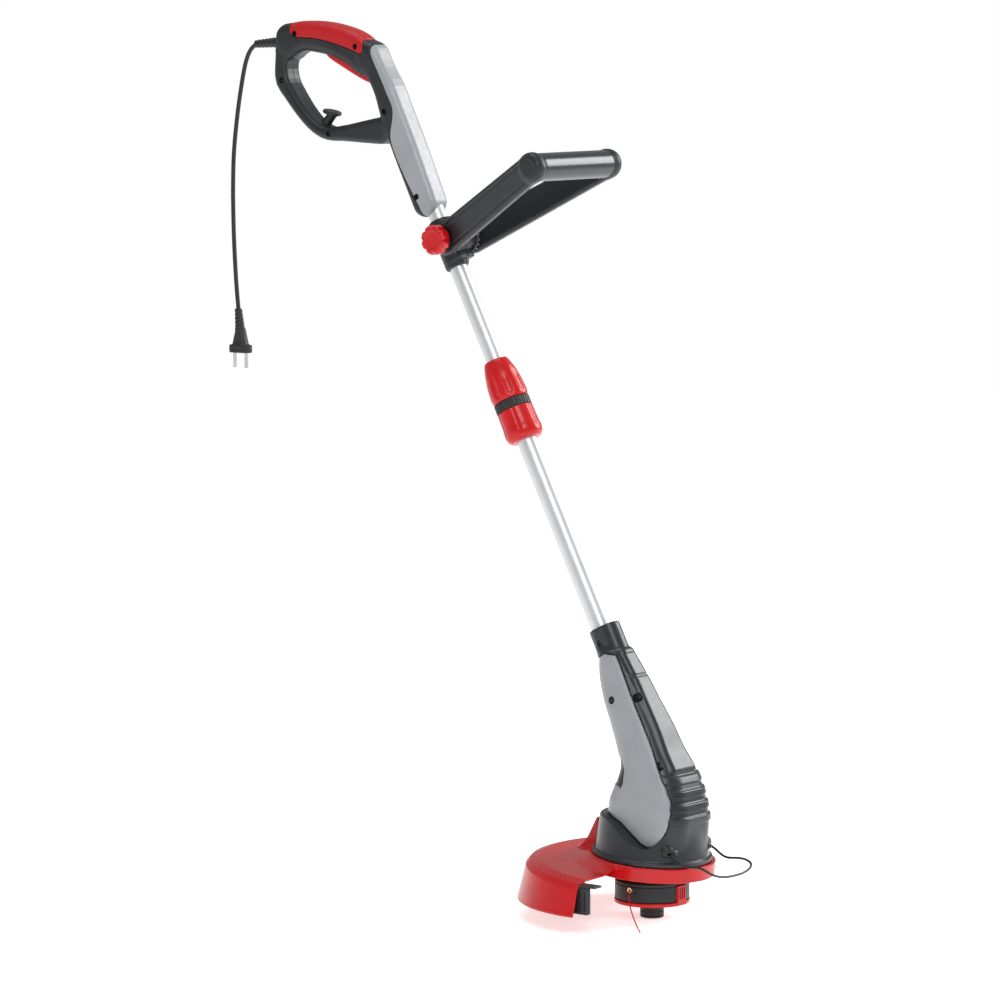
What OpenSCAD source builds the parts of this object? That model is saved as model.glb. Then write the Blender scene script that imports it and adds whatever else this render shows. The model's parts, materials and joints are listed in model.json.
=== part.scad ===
// Corded string trimmer: rear D-handle, front loop handle, telescopic shaft and motor head.
// Origin: middle of the tap button's lower face, on the spool axis. +Z is up along the spool
// axis, +X points forward (away from the operator) and +Y to the operator's left.
// The shaft lies in the plane y = 0 and leans back from the motor head to the rear handle.

/* [Shaft] */
// Angle of the shaft above the ground, in degrees
shaft_angle = 62.7; // [61:0.1:64]
// Distance along the shaft from the ground line to the top of the motor housing's collar
collar_at = 386; // [380:1:392]
// Length of lower tube that shows between the collar and the telescopic clamp
lower_showing = 248; // [160:1:340]
// Length of upper tube that shows between the clamp and the rear handle
upper_showing = 198; // [185:1:300]
// Outer diameter of the lower tube
lower_od = 25; // [24:0.5:30]
// Outer diameter of the upper tube
upper_od = 22; // [18:0.5:22.5]
// Wall of both tubes
tube_wall = 1.2; // [0.8:0.1:1.6]
// Length of upper tube that sits inside the lower tube
tube_overlap = 155; // [150:1:200]

/* [Telescopic clamp] */
// Length of the red lower sleeve
sleeve_len = 40; // [30:1:45]
// Length of the dark grip band
band_len = 12; // [8:1:16]
// Length of the red clamping nut
nut_len = 53; // [40:1:60]
// Outer radius of the clamp
clamp_r = 22.5; // [20:0.5:26]

/* [Rear handle] */
// Thickness of the handle from side to side
handle_w = 34; // [30:1:40]
// Wall of the handle shells
handle_wall = 3; // [2.4:0.2:3.4]
// Width of the trigger
trigger_w = 18; // [14:1:19]
// Diameter of the trigger's pivot pin
trigger_pin_d = 3; // [2:0.5:4]

/* [Front handle] */
// Distance from the front handle's bolt up to the rear handle
front_gap = 41; // [38:1:80]
// Distance from the shaft to the middle of the front handle's crossbar
front_reach = 202; // [150:1:240]
// Length of the crossbar between its corners
crossbar_len = 150; // [110:1:180]
// Diameter of the crossbar
crossbar_d = 34; // [30:1:36]
// Diameter of the clamping bolt
bolt_d = 6; // [5:0.5:8]
// Diameter of the clamping knob
knob_d = 37; // [30:1:42]
// Depth of the clamping knob
knob_len = 20; // [14:1:24]

/* [Motor head] */
// Wall of the motor housing
housing_wall = 3; // [2:0.2:3.4]
// Radius of the housing's foot, where the guard is screwed on
foot_r = 72; // [70:1:76]
// Nose-down tilt of the foot and the guard, in degrees
foot_tilt = 4.5; // [0:0.5:5]
// Radius of the motor's stator
stator_r = 25; // [20:0.5:26]
// Length of the motor's stator
stator_len = 50; // [40:1:54]
// Diameter of the motor shaft
shaft_d = 8; // [6:0.5:10]
// Radius of the cooling fan
fan_r = 34; // [28:1:40]

/* [Guard] */
// Radius of the guard's outer edge
guard_r = 161; // [150:1:175]
// Height of the guard's lower edge above the ground line
guard_base = 23; // [20:1:30]
// Wall of the guard
guard_wall = 3; // [2:0.2:4]
// Diameter of the plant guard's wire
wire_d = 3; // [2.4:0.2:4]
// Reach of the plant guard in front of its pivots
wire_reach = 66; // [60:1:80]

/* [Spool] */
// Diameter of the spool housing
spool_d = 90; // [80:1:96]
// Height of the spool's lower face above the ground line
spool_base = 19; // [17:1:22]
// Height of the spool housing
spool_h = 29; // [27:1:31]
// Diameter of the tap button
tap_d = 29; // [24:1:34]
// Travel of the tap button
tap_travel = 6; // [4:0.5:7]
// Diameter of the cutting line
line_d = 1.6; // [1.2:0.2:2]

/* [Supply cord] */
// Diameter of the supply cord
cord_d = 5.5; // [5:0.5:7]
// Distance between the plug's two pins
pin_spacing = 19; // [19:0.1:19.4]
// Diameter of a plug pin
pin_d = 4.8; // [4:0.1:4.8]
// Length of a plug pin
pin_len = 19; // [18:0.5:20]

/* [Hidden] */

$fn = 48;
running = 0.05;   // radial clearance of a turning or sliding fit
clear = 0.3;      // gap between neighbours that move past each other
cut = 1;          // how far a cutting solid runs past the face it cuts
parting = 0.05;   // half the gap between a right and a left shell

// Places along the shaft, measured up from the ground line
clamp_at = collar_at + lower_showing;
band_at = clamp_at + sleeve_len;
nut_at = band_at + band_len;
clamp_top = nut_at + nut_len;
handle_at = clamp_top + upper_showing;
bolt_at = handle_at - front_gap;
lower_r = lower_od / 2;
upper_r = upper_od / 2;
lower_bore_r = lower_r - tube_wall;
lower_start = collar_at - 86;
lower_end = clamp_at + 35;
upper_start = lower_end - tube_overlap;
upper_end = handle_at + 70;
foot_x = 100.4;   // where the shaft's axis meets the ground line

// Point of the shaft's plane, a distance up the shaft and a distance in front of its axis
function on_axis(up, fwd = 0) = [
    foot_x - up * cos(shaft_angle) + fwd * sin(shaft_angle),
    0,
    up * sin(shaft_angle) + fwd * cos(shaft_angle)];

// Moves children to a place on the shaft: their +Z points up the shaft, their +X forward
module on_shaft(up) {
    translate(on_axis(up)) rotate([0, shaft_angle - 90, 0]) children();
}

// Upright side-view outline (x, z) with a thickness from y0 to y1
module slab(y0, y1) {
    translate([0, y1, 0]) rotate([90, 0, 0]) linear_extrude(y1 - y0) children();
}

// Round bar along Y, centred on y = 0
module bar(r, len) {
    rotate([90, 0, 0]) cylinder(r = r, h = len, center = true);
}

// Ring with its base at z = 0
module ring(r_out, r_in, h) {
    difference() {
        cylinder(r = r_out, h = h);
        translate([0, 0, -cut]) cylinder(r = r_in, h = h + 2 * cut);
    }
}

// Keeps the right (y < 0) or left (y > 0) part of children, with a hairline parting gap
module half(side) {
    intersection() {
        children();
        translate([-1000, side > 0 ? parting : -200, -100]) cube([1500, 200 - parting, 1500]);
    }
}

// ---- Rear handle ---------------------------------------------------------------------
// Outline beads [x, z, r] from the point where the handle meets the shaft's axis
handle_0 = on_axis(handle_at);
half_w = handle_w / 2;
grip_beads = [
    [-228, 209, 21], [-211, 214, 19], [-178, 213.5, 19.5], [-149, 208, 20.5],
    [-124, 199, 21.5], [-106, 187, 21]];
loop_beads = [
    [-238, 190, 11], [-237.5, 158, 10.2], [-227, 143.5, 9], [-166, 95, 8], [-137, 96, 10],
    [-108, 98, 13.5], [-82, 100, 16.5]];
neck_beads = [
    [-100, 192, 16.5], [-86, 170, 15], [-74, 150, 16], [-64, 126, 17.5], [-51, 98, 18.5],
    [-11, 13.5, 17.5]];
cover_gap = 0.1;   // gap round the grey cover's edge
cover_t = 1.6;     // thickness of the grey cover

// Moves children to a place (x, z) from the point where the handle meets the shaft's axis
module at_handle(p) {
    translate(handle_0 + [p[0], 0, p[1]]) children();
}

// Flat disc on its side with chamfered edges
module bead(b, grow) {
    r = b[2] + grow;
    h = half_w + grow;
    c = min(10, r * 0.6);
    half_outline = [[r, h - c], [r - 0.3 * c, h - 0.3 * c], [r - c, h]];
    translate([b[0], 0, b[1]]) rotate([90, 0, 0]) rotate_extrude($fn = 20)
        polygon(concat([[0, -h]], [for (i = [2 : -1 : 0]) [half_outline[i][0], -half_outline[i][1]]],
            half_outline, [[0, h]]));
}

// Chain of hulls through a list of beads
module chain(beads, grow = 0) {
    for (i = [0 : len(beads) - 2]) hull() {
        bead(beads[i], grow);
        bead(beads[i + 1], grow);
    }
}

module handle_solid(grow = 0) {
    translate(handle_0) {
        chain(grip_beads, grow);
        chain(concat([grip_beads[0]], loop_beads), grow);
        chain(neck_beads, grow);
    }
}

// Hollow inside the grip and the neck
module handle_hollow() {
    translate(handle_0) {
        chain(grip_beads, -handle_wall);
        chain(neck_beads, -handle_wall);
    }
}

// Trigger outline, from the handle's corner; the pivot is at its rear end
trigger_pivot = [-163, 198];
trigger_front = [-99.5, 157.5];
trigger_swing = 8;         // degrees from free to pressed
trigger_pin_half = 11.5;   // the pin's ends sit in the shells
module trigger_outline(grow = 0) {
    offset(delta = grow) polygon([
        [-170, 203], [-170, 192], [-163, 187], [-148, 179.5], [-120, 166],
        trigger_front, [-97, 161], [-97, 178], [-128, 192], [-150, 202]]);
}

module handle_shell(side) {
    slot_half = trigger_w / 2 + clear;
    half(side) difference() {
        handle_solid();
        handle_hollow();
        translate(handle_0) slab(-slot_half, slot_half) for (a = [0 : 2 : trigger_swing])
            translate(trigger_pivot) rotate(a) translate(-trigger_pivot) trigger_outline(1);
        at_handle(trigger_pivot) bar(trigger_pin_d / 2 + 0.02, 2 * trigger_pin_half + 0.2);
        on_shaft(handle_at - 20) cylinder(r = upper_r + 0.02, h = upper_end - handle_at + 20.5);
        translate(handle_0) cover_zone(cover_gap);
    }
}

module handle_shell_right() {
    color("#3b3f42") handle_shell(-1);
}

module handle_shell_left() {
    color("#3b3f42") handle_shell(1);
}

// Grey cover over the front of the neck, waisted half-way up
module cover_zone(grow = 0) {
    difference() {
        slab(-half_w - 10, half_w + 10) offset(delta = grow) polygon([
            [-61, 97], [-58, 81], [-44, 55], [-30, 32], [-16, 11], [-6, -6], [7, -12],
            [60, -12], [60, 60], [-20, 225], [-85, 213], [-93, 203], [-90, 190], [-81, 174],
            [-71, 156], [-64, 142], [-56, 128], [-57, 113]]);
        chain(neck_beads, -cover_t - grow);
    }
}

module handle_cover() {
    color("#8e9296") difference() {
        intersection() {
            handle_solid();
            translate(handle_0) cover_zone();
        }
        on_shaft(handle_at - 40) cylinder(r = upper_r + cover_gap, h = upper_end - handle_at + 41);
    }
}

// Red soft insert over the top of the grip
module grip_insert() {
    color("#c01f24") difference() {
        translate(handle_0) intersection() {
            chain(grip_beads, 1.2);
            slab(-half_w - 10, half_w + 10) polygon([
                [-222, 226], [-219, 216], [-209, 213.5], [-182, 213.5], [-150, 207],
                [-121, 199], [-105, 193], [-103, 200], [-106, 210], [-102, 219],
                [-102, 240], [-222, 240]]);
        }
        handle_solid(0.05);
    }
}

// Hook on the inside of the loop that takes the extension lead
hook_at = [-178, 105];
module cable_hook() {
    color("#222427") translate(handle_0 + [hook_at[0], 0, hook_at[1]]) rotate([0, 42, 0]) {
        translate([0, 0, 3]) cylinder(r = 6, h = 16);
        translate([0, 0, 18]) rotate([0, -28, 0]) cylinder(r = 11, h = 4.5);
    }
}

// Sleeve where the supply cord leaves the handle
relief_end = [-291, 204.4];
relief_len = 36;
module strain_relief() {
    color("#1b1c1e") translate(handle_0 + [relief_end[0], 0, relief_end[1]]) rotate([0, 86, 0])
        difference() {
            union() {
                cylinder(r1 = 4.8, r2 = 5.6, h = relief_len);
                for (i = [0 : 3]) translate([0, 0, 5 + 6 * i]) cylinder(r = 5.5 + 0.15 * i, h = 2.5);
            }
            translate([0, 0, -cut]) cylinder(r = cord_d / 2, h = relief_len + 2 * cut);
        }
}

// ---- Supply cord ---------------------------------------------------------------------
cord_points = [
    [-598, 0, 1037.2], [-610, 0, 1037.4], [-620, 0, 1036.5], [-629, 0, 1030], [-636, 0, 1018],
    [-642, 0, 998], [-651, 0, 954], [-658, 0, 903], [-660, 0, 860], [-660, 0, 830],
    [-659, 0, 790], [-656, 0, 740], [-652, 0, 700], [-650, 0, 689]];

function direction(pts, i) =
    let (v = pts[min(i + 1, len(pts) - 1)] - pts[max(i - 1, 0)]) v / norm(v);

// Tube of a given diameter swept through points, with flat ends
module tube(pts, d, sides, up = [0, 1, 0]) {
    rings = [for (i = [0 : len(pts) - 1])
        let (t = direction(pts, i), a = cross(up, t) / norm(cross(up, t)), b = cross(t, a))
        for (k = [0 : sides - 1])
            pts[i] + d / 2 * (a * cos(360 * k / sides) + b * sin(360 * k / sides))];
    last = (len(pts) - 1) * sides;
    polyhedron(rings, concat(
        [[for (k = [0 : sides - 1]) k]],
        [for (i = [0 : len(pts) - 2]) for (k = [0 : sides - 1])
            let (a = i * sides + k, b = i * sides + (k + 1) % sides)
            [b, a, a + sides, b + sides]],
        [[for (k = [sides - 1 : -1 : 0]) last + k]]));
}

// Points between the route's own points, on a smooth curve through them
function blend_point(p, q, r, s, u) =
    0.5 * ((2 * q) + (r - p) * u + (2 * p - 5 * q + 4 * r - s) * u * u
        + (3 * q - p - 3 * r + s) * u * u * u);
function smooth(pts, step) = [
    for (i = [0 : len(pts) - 2])
        let (p = pts[max(i - 1, 0)], q = pts[i], r = pts[i + 1],
            s = pts[min(i + 2, len(pts) - 1)], n = max(1, round(norm(r - q) / step)))
        for (k = [0 : n - 1]) blend_point(p, q, r, s, k / n),
    pts[len(pts) - 1]];

module cord() {
    color("#1d1e20") tube(smooth(cord_points, 2.5 * cord_d), cord_d - 0.05, 10);
}

// Two-pin plug hanging pins down
plug_x = -649;
plug_z = 647;     // height of the plug's pin face
module plug_body() {
    color("#1b1c1e") translate([plug_x, 0, plug_z]) difference() {
        union() {
            linear_extrude(9) hull() for (s = [-1, 1]) translate([s * 8.5, 0]) circle(r = 8);
            hull() {
                translate([0, 0, 8]) linear_extrude(1) hull()
                    for (s = [-1, 1]) translate([s * 4, 0]) circle(r = 7);
                translate([0, 0, 30]) cylinder(r = 6.5, h = 1);
            }
            translate([0, 0, 30]) cylinder(r1 = 6, r2 = 4.6, h = 26);
            for (i = [0 : 3]) translate([0, 0, 34 + 5 * i]) cylinder(r = 6.2 - 0.3 * i, h = 2);
        }
        translate([-1, 0, 40]) cylinder(r = cord_d / 2, h = 30);
        for (s = [-1, 1]) translate([s * pin_spacing / 2, 0, -cut]) cylinder(d = pin_d - 1, h = 10 + cut);
    }
}

// Pins with thinner tails that are moulded into the plug
module plug_pins() {
    color("#b9bcc0") for (s = [-1, 1]) translate([plug_x + s * pin_spacing / 2, 0, plug_z]) {
        translate([0, 0, -pin_len]) cylinder(d = pin_d, h = pin_len);
        cylinder(d = pin_d - 1, h = 10);
    }
}

// ---- Inside the rear handle ----------------------------------------------------------
module switch_body() {
    color("#2b2b2e") at_handle([-137, 209.5]) difference() {
        cube([22, 13, 10], center = true);
        for (s = [-1, 1]) translate([s * 8.5, 0, 0]) bar(1.2, 20);
    }
}

module trigger_pin() {
    color("silver") at_handle(trigger_pivot) bar(trigger_pin_d / 2, 2 * trigger_pin_half);
}

module trigger() {
    color("#c01f24") difference() {
        translate(handle_0) slab(-trigger_w / 2, trigger_w / 2) trigger_outline();
        at_handle(trigger_pivot) bar(trigger_pin_d / 2 + running, handle_w);
        at_handle(trigger_pivot) translate([0, trigger_w / 2 - 3, 0]) bar(4.5, 6);
    }
}

// Torsion spring round the trigger's pin
module trigger_spring() {
    color("silver") at_handle(trigger_pivot) translate([0, trigger_w / 2, 0]) rotate([90, 0, 0])
        for (i = [0 : 2]) translate([0, 0, 1 + i * 1.2]) rotate_extrude($fn = 24)
            translate([3, 0]) circle(d = 1, $fn = 8);
}

screw_places = [[-213.5, 218], [-116, 203], [-236, 160], [-160, 95], [-70, 124], [-19, 21]];
module handle_screws() {
    color("#26282a") for (p = screw_places) at_handle(p) {
        translate([0, -half_w + 4.2, 0]) rotate([90, 0, 0]) cylinder(d = 6, h = 2.2);
        bar(1.5, handle_w - 8);
    }
}

// ---- Shaft ---------------------------------------------------------------------------
module upper_tube() {
    color("#c9cccf") on_shaft(upper_start) ring(upper_r, upper_r - tube_wall, upper_end - upper_start);
}

// Guide bush pressed into the upper tube's lower end; it slides in the lower tube
bush_len = 8;
module guide_bush() {
    color("#e8e8e4") on_shaft(upper_start - bush_len) difference() {
        union() {
            cylinder(r = lower_bore_r - running, h = bush_len);
            cylinder(r = upper_r - tube_wall, h = bush_len + 10);
        }
        translate([0, 0, -cut]) cylinder(r = upper_r - tube_wall - 1.6, h = bush_len + 20);
    }
}

module lower_tube() {
    color("#c9cccf") on_shaft(lower_start) ring(lower_r, lower_bore_r, lower_end - lower_start);
}

// Fixed lower sleeve of the telescopic clamp, with its slotted cone for the nut
module clamp_sleeve() {
    step_r = clamp_r - 4;
    color("#c01f24") on_shaft(clamp_at) rotate_extrude($fn = 64) polygon([
        [lower_r, 2], [lower_r + 4, 0], [clamp_r - 3, 0], [clamp_r - 1, 2],
        [clamp_r + 1, 8], [clamp_r, sleeve_len - 10], [clamp_r, sleeve_len], [step_r, sleeve_len],
        [step_r, sleeve_len + band_len], [lower_r, sleeve_len + band_len]]);
}

module clamp_band() {
    color("#242629") on_shaft(band_at) difference() {
        ring(clamp_r, clamp_r - 4, band_len - clear);
        for (a = [0 : 15 : 345]) rotate([0, 0, a]) translate([clamp_r + 0.4, 0, -cut])
            cylinder(r = 1, h = band_len + 2 * cut, $fn = 16);
    }
}

module clamp_nut() {
    inner = upper_r + clear;
    color("#c01f24") on_shaft(nut_at) difference() {
        rotate_extrude($fn = 64) polygon([
            [lower_r + clear, 0], [clamp_r - 1, 0], [clamp_r, 1.5], [clamp_r, 16],
            [clamp_r - 1, 25], [clamp_r - 2.8, 36], [clamp_r - 5, 44], [clamp_r - 7, nut_len - 2],
            [clamp_r - 8.5, nut_len], [inner, nut_len], [inner, 8], [lower_r + clear, 6]]);
        for (a = [0 : 45 : 315]) rotate([0, 0, a]) translate([clamp_r + 2.6, 0, -cut])
            cylinder(r = 3.2, h = 15, $fn = 24);
    }
}

// ---- Front handle --------------------------------------------------------------------
bolt_fwd = upper_r + bolt_d / 2 + 2.6;
bracket_half = 15;
disc_t = 4;
disc_r = 20;
arm_in = bracket_half + disc_t + 0.3;
arm_t = 13;
arm_out = arm_in + arm_t;
bracket_turn_r = 34;   // the arms leave this free round the bolt for the bracket

// Moves children to the front handle's bolt, turned like the shaft
module at_bolt() {
    on_shaft(bolt_at) translate([bolt_fwd, 0, 0]) children();
}

module handle_bracket() {
    color("#303337") at_bolt() difference() {
        union() {
            bar(15, 2 * bracket_half);
            translate([-bolt_fwd, 0, -32]) cylinder(r = bracket_half, h = 64);
            translate([-bolt_fwd, -bracket_half, -26]) cube([bolt_fwd + 4, 2 * bracket_half, 52]);
        }
        bar(bolt_d / 2 + running, 100);
        translate([-bolt_fwd, 0, -50]) cylinder(r = upper_r, h = 100);
    }
}

// Toothed discs that hold the front handle's tilt, one on each side of the bracket
module ratchet_discs() {
    teeth = 18;
    color("#4a4e52") at_bolt() difference() {
        for (s = [-1, 1]) translate([0, s * (bracket_half + disc_t / 2), 0]) bar(disc_r, disc_t);
        bar(bolt_d / 2 + running, 100);
        for (s = [-1, 1]) for (i = [0 : teeth - 1]) rotate([0, i * 360 / teeth, 0])
            translate([disc_r, s * (bracket_half + disc_t / 2), 0]) bar(1.6, disc_t + cut, $fn = 16);
    }
}

// Post along the shaft's direction with chamfered ends
module post(x, y, r, h) {
    translate([x, y, 0]) rotate_extrude($fn = 24)
        polygon([[0, -h], [r - 3, -h], [r, 3 - h], [r, h - 3], [r - 3, h], [0, h]]);
}

arm_half = 20;
tip_half = 17.5;
tip_rise = 4;    // the crossbar lies a little higher than the bolt
bar_fwd = front_reach - 8;
module front_arm(s) {
    y_root = s * (arm_in + arm_out) / 2;
    y_corner = s * (crossbar_len / 2 - 1);
    hull() {
        translate([0, 0, -2]) post(2, y_root, arm_t / 2, arm_half - 2);
        translate([0, 0, tip_rise]) post(bar_fwd, y_corner, arm_t / 2, tip_half);
    }
    translate([0, y_root, -2]) bar(arm_half - 2, arm_t);
}

module front_handle() {
    color("#2f3236") at_bolt() difference() {
        union() {
            for (s = [-1, 1]) front_arm(s);
            translate([bar_fwd, 0, tip_rise]) rotate([90, 0, 0]) rotate_extrude($fn = 40) polygon([
                [0, -crossbar_len / 2 - 8], [crossbar_d / 2 - 3, -crossbar_len / 2 - 8],
                [crossbar_d / 2, -crossbar_len / 2 - 4], [crossbar_d / 2, crossbar_len / 2 + 4],
                [crossbar_d / 2 - 3, crossbar_len / 2 + 8], [0, crossbar_len / 2 + 8]]);
        }
        bar(bolt_d / 2 + running, 200);
        for (s = [-1, 1]) translate([0, s * (arm_out + 10), 0]) bar(knob_d / 2 + 1, 20);
        cube([2 * bracket_turn_r, 2 * arm_in, 2 * bracket_turn_r], center = true);
    }
}

// Carriage bolt with a square neck, held in the left arm
bolt_head_y = arm_out;
module clamp_bolt() {
    bolt_len = arm_out + bolt_head_y + knob_len - 4;
    color("silver") at_bolt() {
        translate([0, bolt_head_y, 0]) rotate([90, 0, 0]) cylinder(d = bolt_d, h = bolt_len);
        translate([0, bolt_head_y + clear, 0]) rotate([-90, 0, 0]) cylinder(r1 = 8, r2 = 5, h = 4);
        translate([0, bolt_head_y, 0]) rotate([-90, 0, 0]) cylinder(d = bolt_d, h = 1);
    }
}

knob_y = -arm_out - clear;
knob_nut_r = 6;
module handle_knob() {
    lobes = 10;
    color("#c01f24") at_bolt() translate([0, knob_y, 0]) rotate([90, 0, 0]) difference() {
        rotate_extrude($fn = 64) polygon([
            [0, 0], [knob_d / 2 - 6, 0], [knob_d / 2 - 4, 5], [knob_d / 2 - 1.5, 6],
            [knob_d / 2, 8], [knob_d / 2, knob_len - 4], [knob_d / 2 - 3, knob_len], [0, knob_len]]);
        for (i = [0 : lobes - 1]) rotate([0, 0, i * 360 / lobes])
            translate([knob_d / 2 + 2, 0, 5]) cylinder(r = 3.6, h = knob_len, $fn = 24);
        translate([0, 0, -cut]) cylinder(r = knob_nut_r, h = 9 + cut, $fn = 6);
        translate([0, 0, -cut]) cylinder(r = bolt_d / 2 + clear, h = knob_len - 3 + cut);
        translate([0, 0, knob_len - 3]) cylinder(r = 4.5, h = 5);
    }
}

module knob_nut() {
    color("#b8a060") at_bolt() translate([0, knob_y - 8.9, 0]) rotate([-90, 0, 0]) difference() {
        cylinder(r = knob_nut_r - 0.05, h = 6, $fn = 6);
        translate([0, 0, -cut]) cylinder(r = bolt_d / 2 + running, h = 10);
    }
}

// ---- Motor housing -------------------------------------------------------------------
// Sections [z, rear x, front x, half width, corner radius], from the foot up to the collar
sections = [
    [82, -54, 60, 45, 28], [98, -52, 63, 45, 28], [134, -45, 64, 44, 28],
    [142, -44, 62, 44, 28], [162, -37, 57, 42, 28], [185, -31, 46, 39, 26],
    [208, -38, 31, 36, 25], [232, -48, 18, 33, 24], [265, -63, -3, 28, 22],
    [289, -70, -18, 24, 20], [316, -72, -37, 20, 17]];

module section_plate(s, grow) {
    r = s[4] + grow;
    for (x = [s[1] - grow + r, s[2] + grow - r]) for (y = [-1, 1])
        translate([x, y * (s[3] + grow - r), s[0]]) cylinder(r = r, h = 0.2, $fn = 24);
}

// Body through the sections, grown outwards or inwards by a wall
module housing_body(grow = 0) {
    for (i = [0 : len(sections) - 2]) hull() {
        section_plate(sections[i], grow);
        section_plate(sections[i + 1], grow);
    }
}

collar_r = 16;
collar_fwd = 9;   // the collar's section is stretched forward by this much
drum_top = 128;
foot_z = 75;
foot_h = 6;

// Moves children to the tilted face on which the guard sits
module on_foot(z = 0) {
    translate([0, 0, foot_z]) rotate([0, foot_tilt, 0]) translate([0, 0, z]) children();
}

// Oval collar round the lower tube
module collar(h) {
    on_shaft(collar_at - 34) hull() for (x = [0, collar_fwd]) translate([x, 0, 0])
        cylinder(r = collar_r, h = h, $fn = 32);
}

module housing_outside() {
    housing_body();
    hull() {
        section_plate(sections[len(sections) - 1], 0);
        collar(1);
    }
    collar(34);
    translate([0, 0, 76]) cylinder(r1 = foot_r - 3, r2 = foot_r - 9, h = drum_top - 76, $fn = 72);
    on_foot() cylinder(r = foot_r, h = foot_h, $fn = 72);
    for (i = [0 : 3]) housing_rib(rib_z[i]);
}

// Raised bands across the front, below the long ridge
rib_z = [124, 140, 156, 172];
module housing_rib(z) {
    intersection() {
        hull() {
            section_plate([z, -45, rib_front(z) + 3, 36, 20], 0);
            section_plate([z + 8, -45, rib_front(z + 8) + 2, 34, 20], 0);
        }
        translate([20, -60, z]) cube([80, 120, 12]);
    }
}
function rib_front(z) = lookup(z, [for (s = sections) [s[0], s[2]]]);

module housing_hollow() {
    housing_body(-housing_wall);
    translate([0, 0, foot_z - 8]) cylinder(r = foot_r - 13, h = 46, $fn = 72);
    on_foot(-20) cylinder(r = foot_r + 1, h = 20);
}

module housing_shell(side) {
    half(side) difference() {
        housing_outside();
        housing_hollow();
        on_shaft(lower_start) cylinder(r = lower_r + 0.02, h = 200, $fn = 48);
        side_pocket();
        for (s = [-1, 1]) {
            wire_boss(s, 0.1);
            translate([pivot[0], s * (pivot_half + 2), pivot[1]]) bar(wire_d, 8);
        }
        screw_holes();
    }
}

module housing_right() {
    color("#3f4347") housing_shell(-1);
}

module housing_left() {
    color("#3f4347") housing_shell(1);
}

// Grey covers: they lie in a shallow pocket and stand a little proud of the housing
cover_proud = 1.6;
cover_sunk = 1;
module cover_outline(grow = 0) {
    offset(delta = grow) polygon([
        [-47, 321], [-30, 294], [-12, 263], [8, 232], [24, 203], [36, 181], [46, 164],
        [53, 148], [54, 132], [51, 116], [44, 102], [34, 94], [22, 93], [0, 109], [-20, 124],
        [-60, 134], [-95, 150], [-60, 166], [-24, 163], [-14, 158], [-14, 190], [-40, 200],
        [-95, 215], [-110, 290], [-90, 298]]);
}

module side_pocket() {
    difference() {
        slab(-100, 100) cover_outline(0.15);
        housing_body(-cover_sunk);
    }
}

module side_cover(side) {
    half(side) intersection() {
        difference() {
            housing_body(cover_proud);
            housing_body(-cover_sunk + 0.1);
            on_shaft(lower_start) cylinder(r = lower_r + 0.02, h = 200, $fn = 48);
        }
        slab(-100, 100) cover_outline();
    }
}

module side_cover_right() {
    color("#8e9296") side_cover(-1);
}

module side_cover_left() {
    color("#8e9296") side_cover(1);
}

// Screws [x, z] that join the housing halves, and the one in the collar
housing_screw_places = [[-4, 268], [35, 190], [-40, 262], [-58, 94]];
module housing_screws() {
    color("#26282a") {
        for (i = [0 : 2]) let (p = housing_screw_places[i]) translate([p[0], 0, p[1]])
            bar(1.5, 2 * lookup(p[1], [for (s = sections) [s[0], s[3]]]) - 9);
        on_shaft(collar_at - 18) translate([0, -collar_r + 4.6, 0]) rotate([90, 0, 0])
            cylinder(r = 2, h = 3);
    }
}

// ---- Motor ---------------------------------------------------------------------------
shaft_r = shaft_d / 2;
bearing_r = 11;
bearing_h = 7;
lower_bearing = 80;
fan_z = 90;
stator_z = 102;
upper_bearing = stator_z + stator_len + 18;

module motor_stator() {
    color("#7a7f84") translate([0, 0, stator_z]) difference() {
        cylinder(r = stator_r, h = stator_len);
        translate([0, 0, -cut]) cylinder(r = stator_r - 9, h = stator_len + 2 * cut);
        for (s = [-1, 1]) translate([0, s * (stator_r + 4), -cut]) cylinder(r = 6, h = stator_len + 2);
    }
}

// End frames that hold the bearings
module motor_frame() {
    color("#55595e") {
        translate([0, 0, lower_bearing + 2]) ring(foot_r - 13.1, bearing_r, 4);
        translate([0, 0, upper_bearing]) difference() {
            union() {
                cylinder(r = bearing_r + 4, h = bearing_h);
                translate([-8, -33, 0]) cube([16, 66, 4]);
            }
            translate([0, 0, -cut]) cylinder(r = bearing_r, h = bearing_h + 2 * cut);
        }
    }
}

module motor_bearings() {
    color("silver") for (z = [lower_bearing, upper_bearing])
        translate([0, 0, z]) ring(bearing_r, shaft_r + running, bearing_h);
}

module brush_holders() {
    color("#b08d57") for (s = [-1, 1]) translate([0, s * 10.4, stator_z + stator_len + 9])
        rotate([s * -90, 0, 0]) translate([-3.5, -3.5, 0]) cube([7, 7, 18]);
}

module motor_shaft() {
    color("silver") translate([0, 0, spool_top - 6])
        cylinder(r = shaft_r, h = upper_bearing + bearing_h + 2 - spool_top + 6);
}

// Wound rotor with its commutator
module armature() {
    color("#a5663a") translate([0, 0, stator_z]) difference() {
        union() {
            cylinder(r = stator_r - 9.6, h = stator_len);
            translate([0, 0, stator_len]) cylinder(r = 10, h = 14);
        }
        translate([0, 0, -cut]) cylinder(r = shaft_r, h = 90);
    }
}

module cooling_fan() {
    color("#d8d8d2") translate([0, 0, fan_z]) difference() {
        union() {
            cylinder(r = fan_r, h = 1.6);
            cylinder(r = 9, h = 9);
            for (a = [0 : 30 : 330]) rotate([0, 0, a]) translate([7, -0.7, 0]) cube([fan_r - 8, 1.4, 9]);
        }
        translate([0, 0, -cut]) cylinder(r = shaft_r, h = 20);
    }
}

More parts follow.
